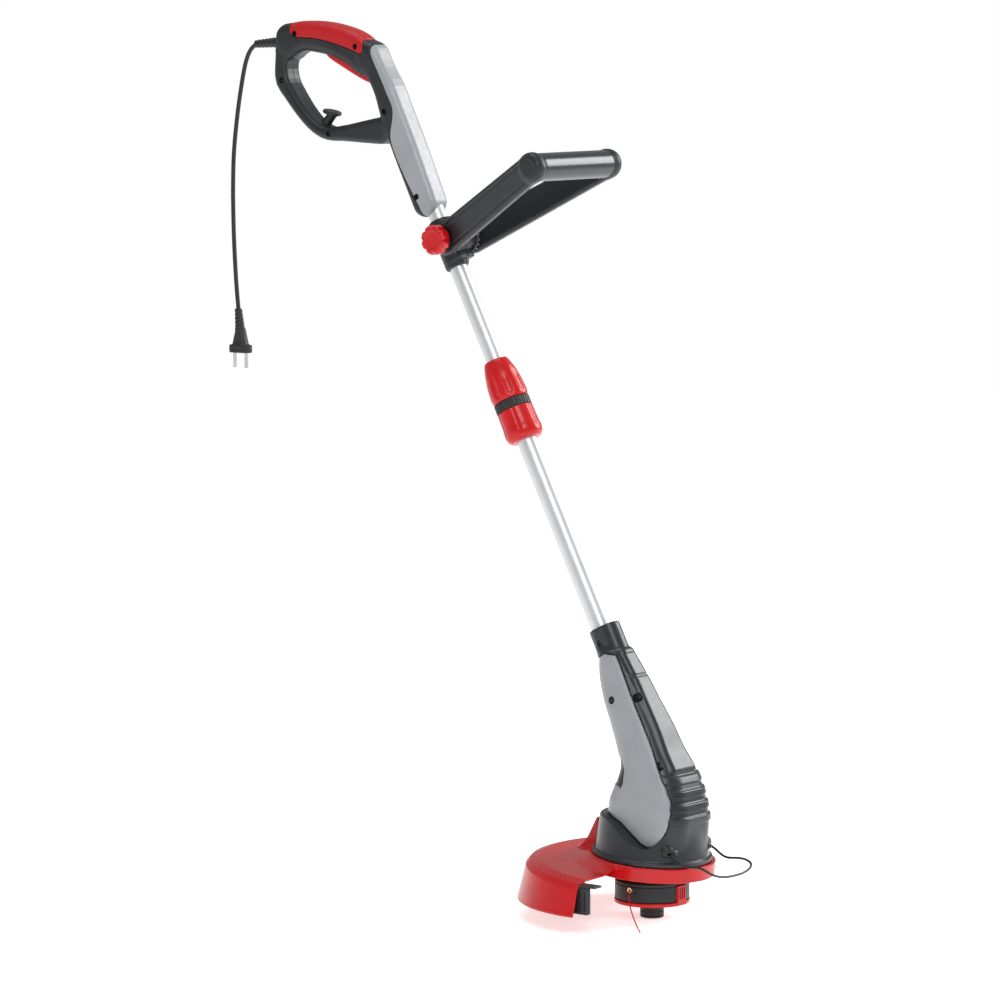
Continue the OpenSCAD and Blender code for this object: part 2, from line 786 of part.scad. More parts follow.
// ---- Guard ---------------------------------------------------------------------------
ring_r = foot_r + 4;
ring_drop = 17;
guard_screw_angles = [60, 180, 300];
skirt_top = -17;     // height of the shoulder below the foot's face
skirt_fwd = 3;       // the skirt's centre lies this far in front of the spool axis
skirt_sweep = 168;   // the skirt reaches further forward on the right, beside the cutter

module screw_holes() {
    for (a = guard_screw_angles) on_foot(-20) rotate([0, 0, a]) translate([foot_r - 6, 0, 0])
        cylinder(r = 1.8, h = 32);
}

// Half-round skirt with a sloping deck, a full ring round the foot and a gusset behind it
module guard() {
    w = guard_wall;
    color("#c01f24") difference() {
        union() {
            on_foot() translate([skirt_fwd, 0, 0]) rotate([0, 0, 270 - skirt_sweep])
                rotate_extrude(angle = skirt_sweep, $fn = 96)
                polygon([
                [guard_r + 2, -75], [guard_r - 8, skirt_top - 2], [guard_r - 13, skirt_top + 4],
                [guard_r - 24, skirt_top + 8], [ring_r + 22, skirt_top + 9], [ring_r - 1, -1],
                [ring_r - 1, -1 - w], [ring_r + 21, skirt_top + 9 - w],
                [guard_r - 25, skirt_top + 8 - w], [guard_r - 16, skirt_top + 2 - w],
                [guard_r - 8 - w, skirt_top - 3], [guard_r + 2 - w, -75]]);
            on_foot() rotate_extrude($fn = 96) polygon([
                [42, -w], [ring_r - w, -w], [ring_r - w, -ring_drop],
                [ring_r, -ring_drop], [ring_r, -2], [ring_r - 2, 0], [42, 0]]);
            slab(-13, 13) polygon([
                [-guard_r + 36, 62], [-100, 76], [-88, 90], [-foot_r - 3, 114],
                [-foot_r + 1, 116], [-foot_r + 1, 62]]);
        }
        on_foot() cylinder(r = foot_r + 0.1, h = 100);
        translate([-500, -500, guard_base - 200]) cube([1000, 1000, 200]);
        screw_holes();
    }
}

module guard_screws() {
    color("silver") for (a = guard_screw_angles) on_foot() rotate([0, 0, a]) translate([foot_r - 6, 0, 0]) {
        translate([0, 0, -guard_wall - 2.5]) cylinder(r = 3.5, h = 2.5);
        translate([0, 0, -guard_wall]) cylinder(r = 1.75, h = 11);
    }
}

// Block and blade that trim the line to length
cutter_y = -guard_r + 12;
module line_cutter() {
    color("#222427") {
        translate([-7, cutter_y, guard_base + 3]) cube([21, 8, 33]);
        translate([-9, cutter_y, guard_base + 36]) cube([34, 15, 2]);
        translate([14, cutter_y, guard_base + 5]) cube([3, 2, 31]);
    }
}

pivot = [foot_r - 16, 88];   // plant guard's pivots [x, z]
pivot_half = 40;             // half the distance between its strands
module wire_boss(s, grow = 0) {
    translate([pivot[0], s * (pivot_half - 6), pivot[1]]) bar(5 + grow, 8 + 2 * grow);
}

module wire_bosses() {
    color("#222427") difference() {
        for (s = [-1, 1]) wire_boss(s);
        translate([pivot[0], 0, pivot[1]]) bar(wire_d / 2 + running, 200);
    }
}

// Spring-steel loop that keeps the line off plants; it folds up in front of the housing
module plant_guard() {
    k = wire_reach / 66;
    side = [for (p = [[7, 41, 84], [16, 40.5, 78.5], [26, 40, 75.5], [42, 41, 76.5], [52, 43, 75],
        [60, 41, 71], [64, 30, 67], [66, 14, 65]]) [pivot[0] + p[0] * k, p[1], p[2]]];
    right = [for (p = side) [p[0], -p[1], p[2]]];
    left = [for (i = [len(side) - 1 : -1 : 0]) side[i]];
    ends = [pivot[0], pivot_half, pivot[1]];
    route = concat([[ends[0], -pivot_half, ends[2]]], right, [[pivot[0] + wire_reach, 0, 64.5]], left,
        [[ends[0], pivot_half, ends[2]]]);
    color("#1f2123") {
        tube(smooth(route, 7), wire_d, 8, [0, 0, 1]);
        for (s = [-1, 1]) translate([pivot[0], s * (pivot_half - 2.5), pivot[1]]) bar(wire_d / 2, 7);
    }
}

// ---- Spool ---------------------------------------------------------------------------
spool_r = spool_d / 2;
spool_top = spool_base + spool_h;
cap_h = 5;
tap_r = tap_d / 2;
hub_r = 7;
reel_z = spool_base + cap_h;
reel_h = spool_h - cap_h - 2.5 - tap_travel - 1.5;
hub_z = reel_z + tap_travel + 2.5;   // the hub stays above the button when it is tapped in
eyelet_angle = -90;
eyelet_z = spool_base + 20;
tab_angles = [-3, 177];

module at_eyelet() {
    translate([0, 0, eyelet_z]) rotate([0, 90, eyelet_angle]) children();
}

module spool_housing() {
    color("#303336") difference() {
        union() {
            translate([0, 0, spool_base + cap_h]) cylinder(r = spool_r, h = spool_h - cap_h);
            translate([0, 0, spool_top - 0.01]) cylinder(r = 11, h = 9);
        }
        translate([0, 0, spool_base]) difference() {
            cylinder(r = spool_r - 2.5, h = spool_h - 2.5);
            translate([0, 0, -cut]) cylinder(r = hub_r, h = spool_h + 2 * cut);
        }
        translate([0, 0, spool_base - cut]) cylinder(r = hub_r + cut, h = hub_z - spool_base + cut);
        translate([0, 0, spool_top - 6]) cylinder(r = shaft_r, h = 20);
        at_eyelet() cylinder(r = 2.6, h = spool_r + 5);
        for (a = tab_angles) rotate([0, 0, a])
            translate([spool_r - 4, -8.2, spool_base]) cube([10, 16.4, 25.4]);
    }
}

// Snap-on lower cap with two release tabs
module spool_cap() {
    color("#c01f24") difference() {
        union() {
            translate([0, 0, spool_base]) rotate_extrude($fn = 96) polygon([
                [tap_r + clear, 0], [spool_r - 2, 0], [spool_r + 0.6, 2], [spool_r + 0.6, cap_h - 0.1],
                [tap_r + clear, cap_h - 0.1]]);
            for (a = tab_angles) rotate([0, 0, a])
                translate([spool_r - 3.9, -8, spool_base + 1]) cube([5.4, 16, 24]);
        }
        for (a = tab_angles, i = [-1 : 1]) rotate([0, 0, a])
            translate([spool_r + 1, i * 4 - 1, spool_base + 9]) cube([4, 2, 13]);
    }
}

module line_eyelet() {
    color("#b8893c") at_eyelet() translate([0, 0, spool_r - 2.5]) rotate_extrude($fn = 32)
        polygon([[1.2, 0], [2.6, 0], [2.6, 2.55], [3.6, 2.55], [3.2, 3.6], [1.2, 3.6]]);
}

module tap_button() {
    color("#1d1e20") rotate_extrude($fn = 64) polygon([
        [0, 0], [tap_r - 2, 0], [tap_r, 2], [tap_r, spool_base + 4], [12, spool_base + 4],
        [12, reel_z + 1], [0, reel_z + 1]]);
}

module line_reel() {
    color("#d9d6cc") translate([0, 0, reel_z]) rotate_extrude($fn = 64) polygon([
        [12, 0.05], [spool_r - 6, 0.05], [spool_r - 6, 1.4], [15, 1.4], [15, reel_h - 1.4],
        [spool_r - 6, reel_h - 1.4], [spool_r - 6, reel_h], [hub_r + running, reel_h],
        [hub_r + running, 1.1], [12, 1.1]]);
}

module wound_line() {
    color("#c01f24") translate([0, 0, reel_z + 1.4]) ring(spool_r - 9, 15, reel_h - 2.8);
}

// Compression spring between the reel and the spool housing
module reel_spring() {
    turns = 4;
    height = spool_top - 2.5 - reel_z - reel_h;
    color("silver") for (i = [0 : turns - 1])
        translate([0, 0, reel_z + reel_h + 0.8 + i * (height - 1.6) / (turns - 1)])
            rotate_extrude($fn = 32) translate([10, 0]) circle(d = 1.4, $fn = 12);
}

line_points = [
    [0, -45, 39], [1, -48.5, 37], [5, -53, 31], [12, -61, 24], [24, -72, 16],
    [40, -86, 8], [56, -100, 3]];
module cutting_line() {
    color("#c01f24") tube(smooth(line_points, 3.5), line_d, 8);
}

handle_shell_right();
handle_shell_left();
grip_insert();
handle_cover();
cable_hook();
strain_relief();
cord();
plug_body();
plug_pins();
switch_body();
trigger_pin();
handle_screws();
upper_tube();
guide_bush();
handle_bracket();
ratchet_discs();
clamp_bolt();
trigger();
trigger_spring();
front_handle();
handle_knob();
knob_nut();
lower_tube();
clamp_sleeve();
clamp_band();
clamp_nut();
housing_right();
housing_left();
side_cover_right();
side_cover_left();
housing_screws();
motor_stator();
motor_frame();
motor_bearings();
brush_holders();
guard();
guard_screws();
line_cutter();
wire_bosses();
motor_shaft();
armature();
cooling_fan();
spool_housing();
spool_cap();
line_eyelet();
cutting_line();
tap_button();
line_reel();
wound_line();
reel_spring();
plant_guard();
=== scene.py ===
"""The looks of the string trimmer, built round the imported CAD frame.

Sizes are in millimetres until a mesh is made.
"""

import json
import math

import bpy
import numpy as np
from mathutils import Matrix, Vector

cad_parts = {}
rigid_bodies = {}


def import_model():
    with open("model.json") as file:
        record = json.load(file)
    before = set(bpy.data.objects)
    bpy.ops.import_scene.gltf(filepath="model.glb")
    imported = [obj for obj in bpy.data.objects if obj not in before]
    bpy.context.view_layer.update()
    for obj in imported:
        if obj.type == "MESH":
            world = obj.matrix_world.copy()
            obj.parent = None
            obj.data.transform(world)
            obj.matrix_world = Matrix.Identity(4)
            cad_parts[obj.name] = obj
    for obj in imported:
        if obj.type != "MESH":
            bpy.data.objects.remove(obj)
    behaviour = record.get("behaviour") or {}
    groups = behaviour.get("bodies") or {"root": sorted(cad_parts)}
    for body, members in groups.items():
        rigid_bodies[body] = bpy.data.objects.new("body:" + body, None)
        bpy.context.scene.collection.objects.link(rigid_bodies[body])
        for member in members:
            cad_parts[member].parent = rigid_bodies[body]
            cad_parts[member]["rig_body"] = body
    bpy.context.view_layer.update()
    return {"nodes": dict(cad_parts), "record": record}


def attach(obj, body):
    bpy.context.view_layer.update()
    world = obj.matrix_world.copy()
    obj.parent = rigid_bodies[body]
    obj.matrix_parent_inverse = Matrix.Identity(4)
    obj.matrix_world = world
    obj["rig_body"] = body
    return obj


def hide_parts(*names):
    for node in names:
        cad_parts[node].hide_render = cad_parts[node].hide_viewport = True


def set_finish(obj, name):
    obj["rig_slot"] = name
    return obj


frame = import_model()

# ---- Places, as in the CAD source ------------------------------------------------------
SHAFT_ANGLE = math.radians(62.7)
FOOT_X = 100.4
FOOT_Z = 75
FOOT_TILT = math.radians(4.5)
COLLAR_AT = 386
CLAMP_AT, BAND_AT, NUT_AT = 634, 674, 686
BOLT_AT, BOLT_FWD = 896, 16.6
HANDLE_AT = 937
UPPER_R, LOWER_R = 11, 12.5
HALF_W = 17


def on_axis(up, fwd=0.0):
    """Point of the shaft's plane, a distance up the shaft and a distance in front of its axis."""
    return (
        FOOT_X - up * math.cos(SHAFT_ANGLE) + fwd * math.sin(SHAFT_ANGLE),
        0.0,
        up * math.sin(SHAFT_ANGLE) + fwd * math.cos(SHAFT_ANGLE),
    )


HANDLE_0 = on_axis(HANDLE_AT)


def shaft_frame(x, z, up, fwd=0.0):
    """Forward and upward distances from a place on the shaft, in the shaft's own directions."""
    px, _, pz = on_axis(up, fwd)
    s, c = math.sin(SHAFT_ANGLE), math.cos(SHAFT_ANGLE)
    return (x - px) * s + (z - pz) * c, (z - pz) * s - (x - px) * c


def foot_frame(x, z):
    """Forward and upward distances from the middle of the tilted foot."""
    s, c = math.sin(FOOT_TILT), math.cos(FOOT_TILT)
    return x * c - (z - FOOT_Z) * s, x * s + (z - FOOT_Z) * c


# ---- Camera ----------------------------------------------------------------------------
def add_camera():
    azimuth, pitch = math.radians(38.0), math.radians(6.289)
    right = Vector((math.cos(azimuth), math.sin(azimuth), 0))
    level = Vector((-math.sin(azimuth), math.cos(azimuth), 0))
    ahead = level * math.cos(pitch) - Vector((0, 0, math.sin(pitch)))
    up = right.cross(ahead)
    data = bpy.data.cameras.new("camera")
    data.lens, data.sensor_width, data.clip_end = 170.67, 36, 2000
    camera = bpy.data.objects.new("camera", data)
    turn = Matrix((right, up, -ahead)).transposed().to_4x4()
    camera.matrix_world = Matrix.Translation((3.30397, -4.52516, 1.120)) @ turn
    bpy.context.scene.collection.objects.link(camera)
    bpy.context.scene.camera = camera


add_camera()


# ---- Materials -------------------------------------------------------------------------
def material(name, color, rough, metallic=0.0, coat=0.0, coat_rough=0.1, grain=0.5, bump=0.15,
             vary=0.06, rough_vary=0.06, edge=0.0, stretch=(1, 1, 1), spec=0.5, patch=40):
    """Moulded plastic or metal: patchy colour, uneven gloss, surface grain in mm and paler worn edges."""
    mat = bpy.data.materials.new(name)
    mat.use_nodes = True
    tree = mat.node_tree
    shader = tree.nodes["Principled BSDF"]
    shader.inputs["Metallic"].default_value = metallic
    shader.inputs["Coat Weight"].default_value = coat
    shader.inputs["Coat Roughness"].default_value = coat_rough
    shader.inputs["Specular IOR Level"].default_value = spec
    place = tree.nodes.new("ShaderNodeTexCoord")
    scaled = tree.nodes.new("ShaderNodeMapping")
    scaled.inputs["Scale"].default_value = stretch
    tree.links.new(place.outputs["Object"], scaled.inputs["Vector"])

    def noise(scale, detail, distortion=0.0):
        node = tree.nodes.new("ShaderNodeTexNoise")
        node.inputs["Scale"].default_value = scale
        node.inputs["Detail"].default_value = detail
        node.inputs["Distortion"].default_value = distortion
        tree.links.new(scaled.outputs["Vector"], node.inputs["Vector"])
        return node.outputs["Fac"]

    def ranged(value, low, high, new_low, new_high):
        node = tree.nodes.new("ShaderNodeMapRange")
        for key, number in zip(("From Min", "From Max", "To Min", "To Max"), (low, high, new_low, new_high)):
            node.inputs[key].default_value = number
        tree.links.new(value, node.inputs["Value"])
        return node.outputs["Result"]

    def mixed(factor, first, second):
        node = tree.nodes.new("ShaderNodeMix")
        node.data_type = "RGBA"
        tree.links.new(factor, node.inputs["Factor"])
        for key, value in (("A", first), ("B", second)):
            socket = [s for s in node.inputs if s.name == key and s.type == "RGBA"][0]
            if isinstance(value, tuple):
                socket.default_value = value
            else:
                tree.links.new(value, socket)
        return [s for s in node.outputs if s.type == "RGBA"][0]

    dark = tuple(c * (1 - vary) for c in color) + (1,)
    pale = tuple(min(1, c * (1 + vary) + 0.002) for c in color) + (1,)
    base = mixed(ranged(noise(patch, 4, 0.4), 0.35, 0.65, 0, 1), dark, pale)
    if edge:
        geometry = tree.nodes.new("ShaderNodeNewGeometry")
        worn = ranged(geometry.outputs["Pointiness"], 0.53, 0.62, 0, edge)
        base = mixed(worn, base, tuple(min(1, 0.55 * c + 0.16) for c in color) + (1,))
    tree.links.new(base, shader.inputs["Base Color"])
    uneven = ranged(noise(180, 3), 0.3, 0.7, rough - rough_vary, rough + rough_vary)
    tree.links.new(uneven, shader.inputs["Roughness"])
    relief = tree.nodes.new("ShaderNodeBump")
    relief.inputs["Strength"].default_value = bump
    relief.inputs["Distance"].default_value = grain * 0.0004
    tree.links.new(noise(1000 / grain, 2), relief.inputs["Height"])
    tree.links.new(relief.outputs["Normal"], shader.inputs["Normal"])
    return mat


MATS = {
    "dark_shell": material(
        "dark_shell", (0.011, 0.013, 0.016), 0.42, grain=0.8, bump=0.18, edge=0.06, coat=0.05,
        coat_rough=0.3, spec=0.35),
    "housing_dark": material(
        "housing_dark", (0.014, 0.017, 0.021), 0.34, grain=0.7, bump=0.04, rough_vary=0.02, edge=0.05,
        coat=0.15, coat_rough=0.28, spec=0.38),
    "bar_gloss": material(
        "bar_gloss", (0.011, 0.014, 0.018), 0.26, grain=0.9, bump=0.02, rough_vary=0.015, edge=0.03, coat=0.2,
        coat_rough=0.2, spec=0.35),
    "grey_cover": material(
        "grey_cover", (0.275, 0.29, 0.308), 0.38, grain=0.5, bump=0.10, edge=0.12, vary=0.04,
        coat=0.15, coat_rough=0.2),
    "red_plastic": material(
        "red_plastic", (0.50, 0.004, 0.006), 0.30, grain=0.6, bump=0.03, rough_vary=0.03, vary=0.03,
        coat=0.12, coat_rough=0.12, spec=0.3),
    "red_soft": material(
        "red_soft", (0.42, 0.005, 0.008), 0.46, grain=1.1, bump=0.25, vary=0.03, coat=0.04,
        coat_rough=0.3, spec=0.28),
    "black_plastic": material(
        "black_plastic", (0.010, 0.011, 0.012), 0.42, grain=0.7, bump=0.22, edge=0.15, spec=0.4),
    "cord_rubber": material(
        "cord_rubber", (0.013, 0.013, 0.014), 0.50, grain=0.5, bump=0.30, vary=0.15, spec=0.4),
    "tube_metal": material(
        "tube_metal", (0.62, 0.63, 0.65), 0.40, metallic=0.7, grain=0.5, bump=0.02, vary=0.02,
        rough_vary=0.012),
    "steel": material("steel", (0.55, 0.56, 0.57), 0.28, metallic=1.0, grain=0.4, bump=0.1),
    "dark_steel": material(
        "dark_steel", (0.03, 0.032, 0.035), 0.33, metallic=0.6, grain=0.4, bump=0.2, edge=0.3),
    "gear_grey": material(
        "gear_grey", (0.10, 0.105, 0.11), 0.38, metallic=0.5, grain=0.4, bump=0.2, edge=0.3),
    "brass": material("brass", (0.72, 0.50, 0.22), 0.28, metallic=1.0, grain=0.4, bump=0.1),
    "copper_winding": material(
        "copper_winding", (0.62, 0.26, 0.12), 0.35, metallic=1.0, grain=0.9, bump=0.6, stretch=(1, 1, 6)),
    "pale_plastic": material("pale_plastic", (0.62, 0.61, 0.57), 0.45, grain=0.8, bump=0.15),
    "line_nylon": material("line_nylon", (0.55, 0.02, 0.03), 0.32, grain=0.4, bump=0.2, coat=0.3),
}
for row in frame["record"]["subparts"]:
    node = frame["nodes"][row["node"]]
    node.data.materials.clear()
    node.data.materials.append(MATS[row["material_slot"]])


# ---- Distance functions, in millimetres ------------------------------------------------
def smin(a, b, k):
    h = np.clip(0.5 + 0.5 * (b - a) / k, 0, 1)
    return b * (1 - h) + a * h - k * h * (1 - h)


def smax(a, b, k):
    return -smin(-a, -b, k)


def corner(a, b, c):
    """Both distances at once, with the edge between them rounded to radius c."""
    a, b = a + c, b + c
    return np.hypot(np.maximum(a, 0), np.maximum(b, 0)) + np.minimum(np.maximum(a, b), 0) - c


def box2(x, y, hx, hy, r):
    return corner(np.abs(x) - hx, np.abs(y) - hy, r)


def box3(x, y, z, hx, hy, hz, r):
    return corner(box2(x, y, hx, hy, r), np.abs(z) - hz, r)


def capsule2(x, y, a, b):
    """Distance to a chain's link between two beads (x, y, r)."""
    dx, dy = b[0] - a[0], b[1] - a[1]
    t = np.clip(((x - a[0]) * dx + (y - a[1]) * dy) / (dx * dx + dy * dy), 0, 1)
    return np.hypot(x - a[0] - t * dx, y - a[1] - t * dy) - (a[2] + t * (b[2] - a[2]))


def chain2(x, y, beads):
    """Distance to a smooth row of beads (x, y, r)."""
    places = np.cumsum([0] + [math.dist(a[:2], b[:2]) for a, b in zip(beads, beads[1:])])
    t = np.linspace(0, places[-1], 4 * len(beads))
    dense = list(zip(*(curve_at(t, places, [b[i] for b in beads]) for i in range(3))))
    return np.minimum.reduce([capsule2(x, y, a, b) for a, b in zip(dense, dense[1:])])


def polygon(x, y, points):
    x, y = np.broadcast_arrays(x, y)
    best = np.full(x.shape, 1e9)
    inside = np.zeros(x.shape, bool)
    for (ax, ay), (bx, by) in zip(points, points[1:] + points[:1]):
        ex, ey = bx - ax, by - ay
        t = np.clip(((x - ax) * ex + (y - ay) * ey) / (ex * ex + ey * ey), 0, 1)
        best = np.minimum(best, (x - ax - t * ex) ** 2 + (y - ay - t * ey) ** 2)
        if ey:
            inside ^= ((ay > y) != (by > y)) & (x < ex * (y - ay) / ey + ax)
    return np.where(inside, -1, 1) * np.sqrt(best)


def rounded(points, times=2):
    """The closed outline with its corners cut, twice or more."""
    for _ in range(times):
        new = []
        for (ax, ay), (bx, by) in zip(points, points[1:] + points[:1]):
            new.append((0.75 * ax + 0.25 * bx, 0.75 * ay + 0.25 * by))
            new.append((0.25 * ax + 0.75 * bx, 0.25 * ay + 0.75 * by))
        points = new
    return points


def curve_at(t, places, values):
    """Smooth curve through values at places."""
    places, values = np.array(places, float), np.array(values, float)
    slope = np.gradient(values, places)
    t = np.clip(t, places[0], places[-1])
    i = np.clip(np.searchsorted(places, t, side="right") - 1, 0, len(places) - 2)
    h = places[i + 1] - places[i]
    s = (t - places[i]) / h
    return (
        (2 * s**3 - 3 * s**2 + 1) * values[i]
        + (s**3 - 2 * s**2 + s) * h * slope[i]
        + (3 * s**2 - 2 * s**3) * values[i + 1]
        + (s**3 - s**2) * h * slope[i + 1]
    )


def bump_line(distance, width):
    return np.exp(-((distance / width) ** 2))


# ---- Meshes from distance functions ----------------------------------------------------
CELL = [(0, 0, 0), (1, 0, 0), (0, 1, 0), (1, 1, 0), (0, 0, 1), (1, 0, 1), (0, 1, 1), (1, 1, 1)]
CELL_EDGES = [(0, 1), (2, 3), (4, 5), (6, 7), (0, 2), (1, 3), (4, 6), (5, 7), (0, 4), (1, 5), (2, 6), (3, 7)]


def skin(solid, low, high, step):
    """Points and quads of the surface where solid(x, y, z) is zero."""
    step = step
    low = np.array(low, float)
    count = np.ceil((np.array(high) - low) / step).astype(int) + 1
    axes = [low[i] + step * np.arange(count[i]) for i in range(3)]
    value = solid(axes[0][:, None, None], axes[1][None, :, None], axes[2][None, None, :])
    grid = np.broadcast_to(value, count)
    filled = grid < 0
    spans = [[slice(d, count[i] - 1 + d) for d in (0, 1)] for i in range(3)]
    total = sum(filled[spans[0][a], spans[1][b], spans[2][c]].astype(np.int8) for a, b, c in CELL)
    active = (total > 0) & (total < 8)
    cells = np.argwhere(active)
    number = np.full(active.shape, -1, np.int64)
    number[active] = np.arange(len(cells))
    points, hits = np.zeros((len(cells), 3)), np.zeros(len(cells))
    for i, j in CELL_EDGES:
        a, b = cells + CELL[i], cells + CELL[j]
        da, db = grid[tuple(a.T)], grid[tuple(b.T)]
        cross = (da < 0) != (db < 0)
        t = np.where(cross, da / np.where(cross, da - db, 1), 0)
        points += np.where(cross[:, None], a + t[:, None] * (b - a), 0)
        hits += cross
    points = low + step * points / hits[:, None]
    quads = []
    for axis in range(3):
        u, v = (axis + 1) % 3, (axis + 2) % 3
        here = [slice(1, None)] * 3
        here[axis] = slice(0, -1)
        there = list(here)
        there[axis] = slice(1, None)
        start, end = filled[tuple(here)], filled[tuple(there)]
        for flag, order in ((start & ~end, 1), (~start & end, -1)):
            at = np.argwhere(flag)
            at[:, u] += 1
            at[:, v] += 1
            corners = []
            for du, dv in ((-1, -1), (0, -1), (0, 0), (-1, 0))[::order]:
                c = at.copy()
                c[:, u] += du
                c[:, v] += dv
                last = np.array(active.shape) - 1
                inside = np.all((c >= 0) & (c <= last), axis=1)
                corners.append(np.where(inside, number[tuple(np.clip(c, 0, last).T)], -1))
            quads.append(np.stack(corners, 1))
    quads = np.concatenate(quads)
    quads = quads[(quads >= 0).all(1)]

    def slope(p, e):
        g = np.stack([solid(*(p + d).T) - solid(*(p - d).T) for d in e * np.eye(3)], 1)
        return g / (2 * e)

    start = points
    for _ in range(2):
        g = slope(points, 0.2 * step)
        size = np.maximum((g**2).sum(1), 0.05)
        move = (solid(*points.T) / size)[:, None] * g
        length = np.linalg.norm(move, axis=1, keepdims=True)
        points = points - move * np.minimum(1, 0.5 * step / np.maximum(length, 1e-9))

    def facing(p):
        out = slope(p, 0.35 * step)
        return out / np.maximum(np.linalg.norm(out, axis=1, keepdims=True), 1e-9)

    # Quads that the move has folded go back to where they started
    normals = facing(points)
    across = np.cross(points[quads[:, 2]] - points[quads[:, 0]], points[quads[:, 3]] - points[quads[:, 1]])
    folded = (np.einsum("qkc,qc->qk", normals[quads], across) < 0).any(1)
    back = np.unique(quads[folded])
    points[back] = start[back]
    normals[back] = facing(start[back])
    return points, quads, normals


def mesh_object(name, points, faces, mat, normals=None):
    mesh = bpy.data.meshes.new(name)
    mesh.from_pydata((np.asarray(points) / 1000).tolist(), [], [list(map(int, f)) for f in faces])
    mesh.validate()
    mesh.polygons.foreach_set("use_smooth", [True] * len(mesh.polygons))
    if normals is not None and len(mesh.vertices) == len(normals):
        mesh.normals_split_custom_set_from_vertices(normals.tolist())
    mesh.materials.append(MATS[mat])
    obj = bpy.data.objects.new(name, mesh)
    bpy.context.scene.collection.objects.link(obj)
    return obj


def finish_piece(obj, body, slot, nodes):
    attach(obj, body)
    if nodes:
        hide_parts(*nodes)
    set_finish(obj, slot)
    return obj


def piece(name, solid, low, high, step, mat, body, nodes=(), slot=None):
    points, quads, normals = skin(solid, low, high, step)
    return finish_piece(mesh_object(name, points, quads, mat, normals), body, slot or mat, nodes)


def mirrored(source, name, nodes):
    """A left-hand copy of a right-hand piece."""
    mesh = source.data.copy()
    obj = bpy.data.objects.new(name, mesh)
    bpy.context.scene.collection.objects.link(obj)
    mesh.transform(Matrix.Diagonal((1, -1, 1, 1)))
    mesh.flip_normals()
    return finish_piece(obj, source["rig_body"], source["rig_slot"], nodes)


# ---- Swept tubes -----------------------------------------------------------------------
def smooth_route(points, step):
    points = [np.array(p, float) for p in points]
    out = []
    for i in range(len(points) - 1):
        p, q = points[max(i - 1, 0)], points[i]
        r, s = points[i + 1], points[min(i + 2, len(points) - 1)]
        n = max(1, round(np.linalg.norm(r - q) / step))
        for k in range(n):
            u = k / n
            square, cube = 2 * p - 5 * q + 4 * r - s, 3 * q - p - 3 * r + s
            out.append(0.5 * (2 * q + (r - p) * u + square * u**2 + cube * u**3))
    return np.array(out + [points[-1]])


def swept(name, route, diameter, mat, sides=16, up=(0, 1, 0)):
    """Round tube along a route, with domed ends."""
    along = np.gradient(route, axis=0)
    along /= np.linalg.norm(along, axis=1, keepdims=True)
    a = np.cross(np.broadcast_to(up, along.shape), along)
    a /= np.linalg.norm(a, axis=1, keepdims=True)
    b = np.cross(along, a)
    angle = np.linspace(0, 2 * np.pi, sides, endpoint=False)
    rings, radius = [], diameter / 2
    centres = [(0, -0.95, 0.3), (0, -0.7, 0.72)] + [(i, 0, 1) for i in range(len(route))]
    centres += [(len(route) - 1, 0.7, 0.72), (len(route) - 1, 0.95, 0.3)]
    for i, shift, size in centres:
        middle = route[i] + shift * radius * 0.4 * along[i]
        rings.append(middle + size * radius * (np.cos(angle)[:, None] * a[i] + np.sin(angle)[:, None] * b[i]))
    points = np.concatenate(rings)
    faces = [
        (i * sides + k, i * sides + (k + 1) % sides, (i + 1) * sides + (k + 1) % sides, (i + 1) * sides + k)
        for i in range(len(rings) - 1)
        for k in range(sides)
    ]
    faces += [tuple(range(sides))[::-1], tuple((len(rings) - 1) * sides + k for k in range(sides))]
    return mesh_object(name, points, faces, mat)


# ---- Supply cord and plug --------------------------------------------------------------
CORD_D = 5.5
CORD_POINTS = [
    (-598, 0, 1037.2), (-610, 0, 1037.4), (-620, 0, 1036.5), (-629, 0, 1030), (-636, 0, 1018), (-642, 0, 998),
    (-651, 0, 954), (-658, 0, 903), (-660, 0, 860), (-660, 0, 830), (-659, 0, 790), (-656, 0, 740),
    (-652, 0, 700), (-650, 0, 689)]
PLUG_X, PLUG_Z = -649, 647


def plug_solid(x, y, z):
    x, z = x - PLUG_X, z - PLUG_Z
    flange = corner(box2(x, y, 16.5, 8, 7.6), np.abs(z - 5) - 5, 1.4)
    half = np.interp(z, [8, 14, 29], [11, 10, 6.6])
    body = corner(box2(x, y, half, np.interp(z, [8, 29], [7.6, 6.4]), 6), np.abs(z - 19) - 11.5, 1.2)
    ring = 0.6 * np.maximum(0, np.cos((z - 33) * 2 * np.pi / 5)) ** 2
    lean = np.interp(z, [26, 56], [-0.4, -3.4])
    neck = np.hypot(x - lean, y) - np.interp(z, [30, 56], [6.0, 4.4]) - ring
    d = smin(smin(flange, body, 2.5), corner(neck, np.abs(z - 42) - 14, 1.0), 2.0)
    return smax(d, -corner(box2(x, z - 17, 4.5, 3, 1.6), 7.0 - np.abs(y), 0.5), 0.8)


def relief_solid(x, y, z):
    s, c = math.sin(math.radians(86)), math.cos(math.radians(86))
    px, pz = HANDLE_0[0] - 291, HANDLE_0[2] + 204.4
    along, across = (x - px) * s + (z - pz) * c, (z - pz) * s - (x - px) * c
    ring = 0.45 * np.cos((along - 6) * 2 * np.pi / 6)
    radius = np.interp(along, [0, 36], [4.6, 6.2]) + ring
    return corner(np.hypot(across, y) - radius, np.abs(along - 18) - 18, 1.2)


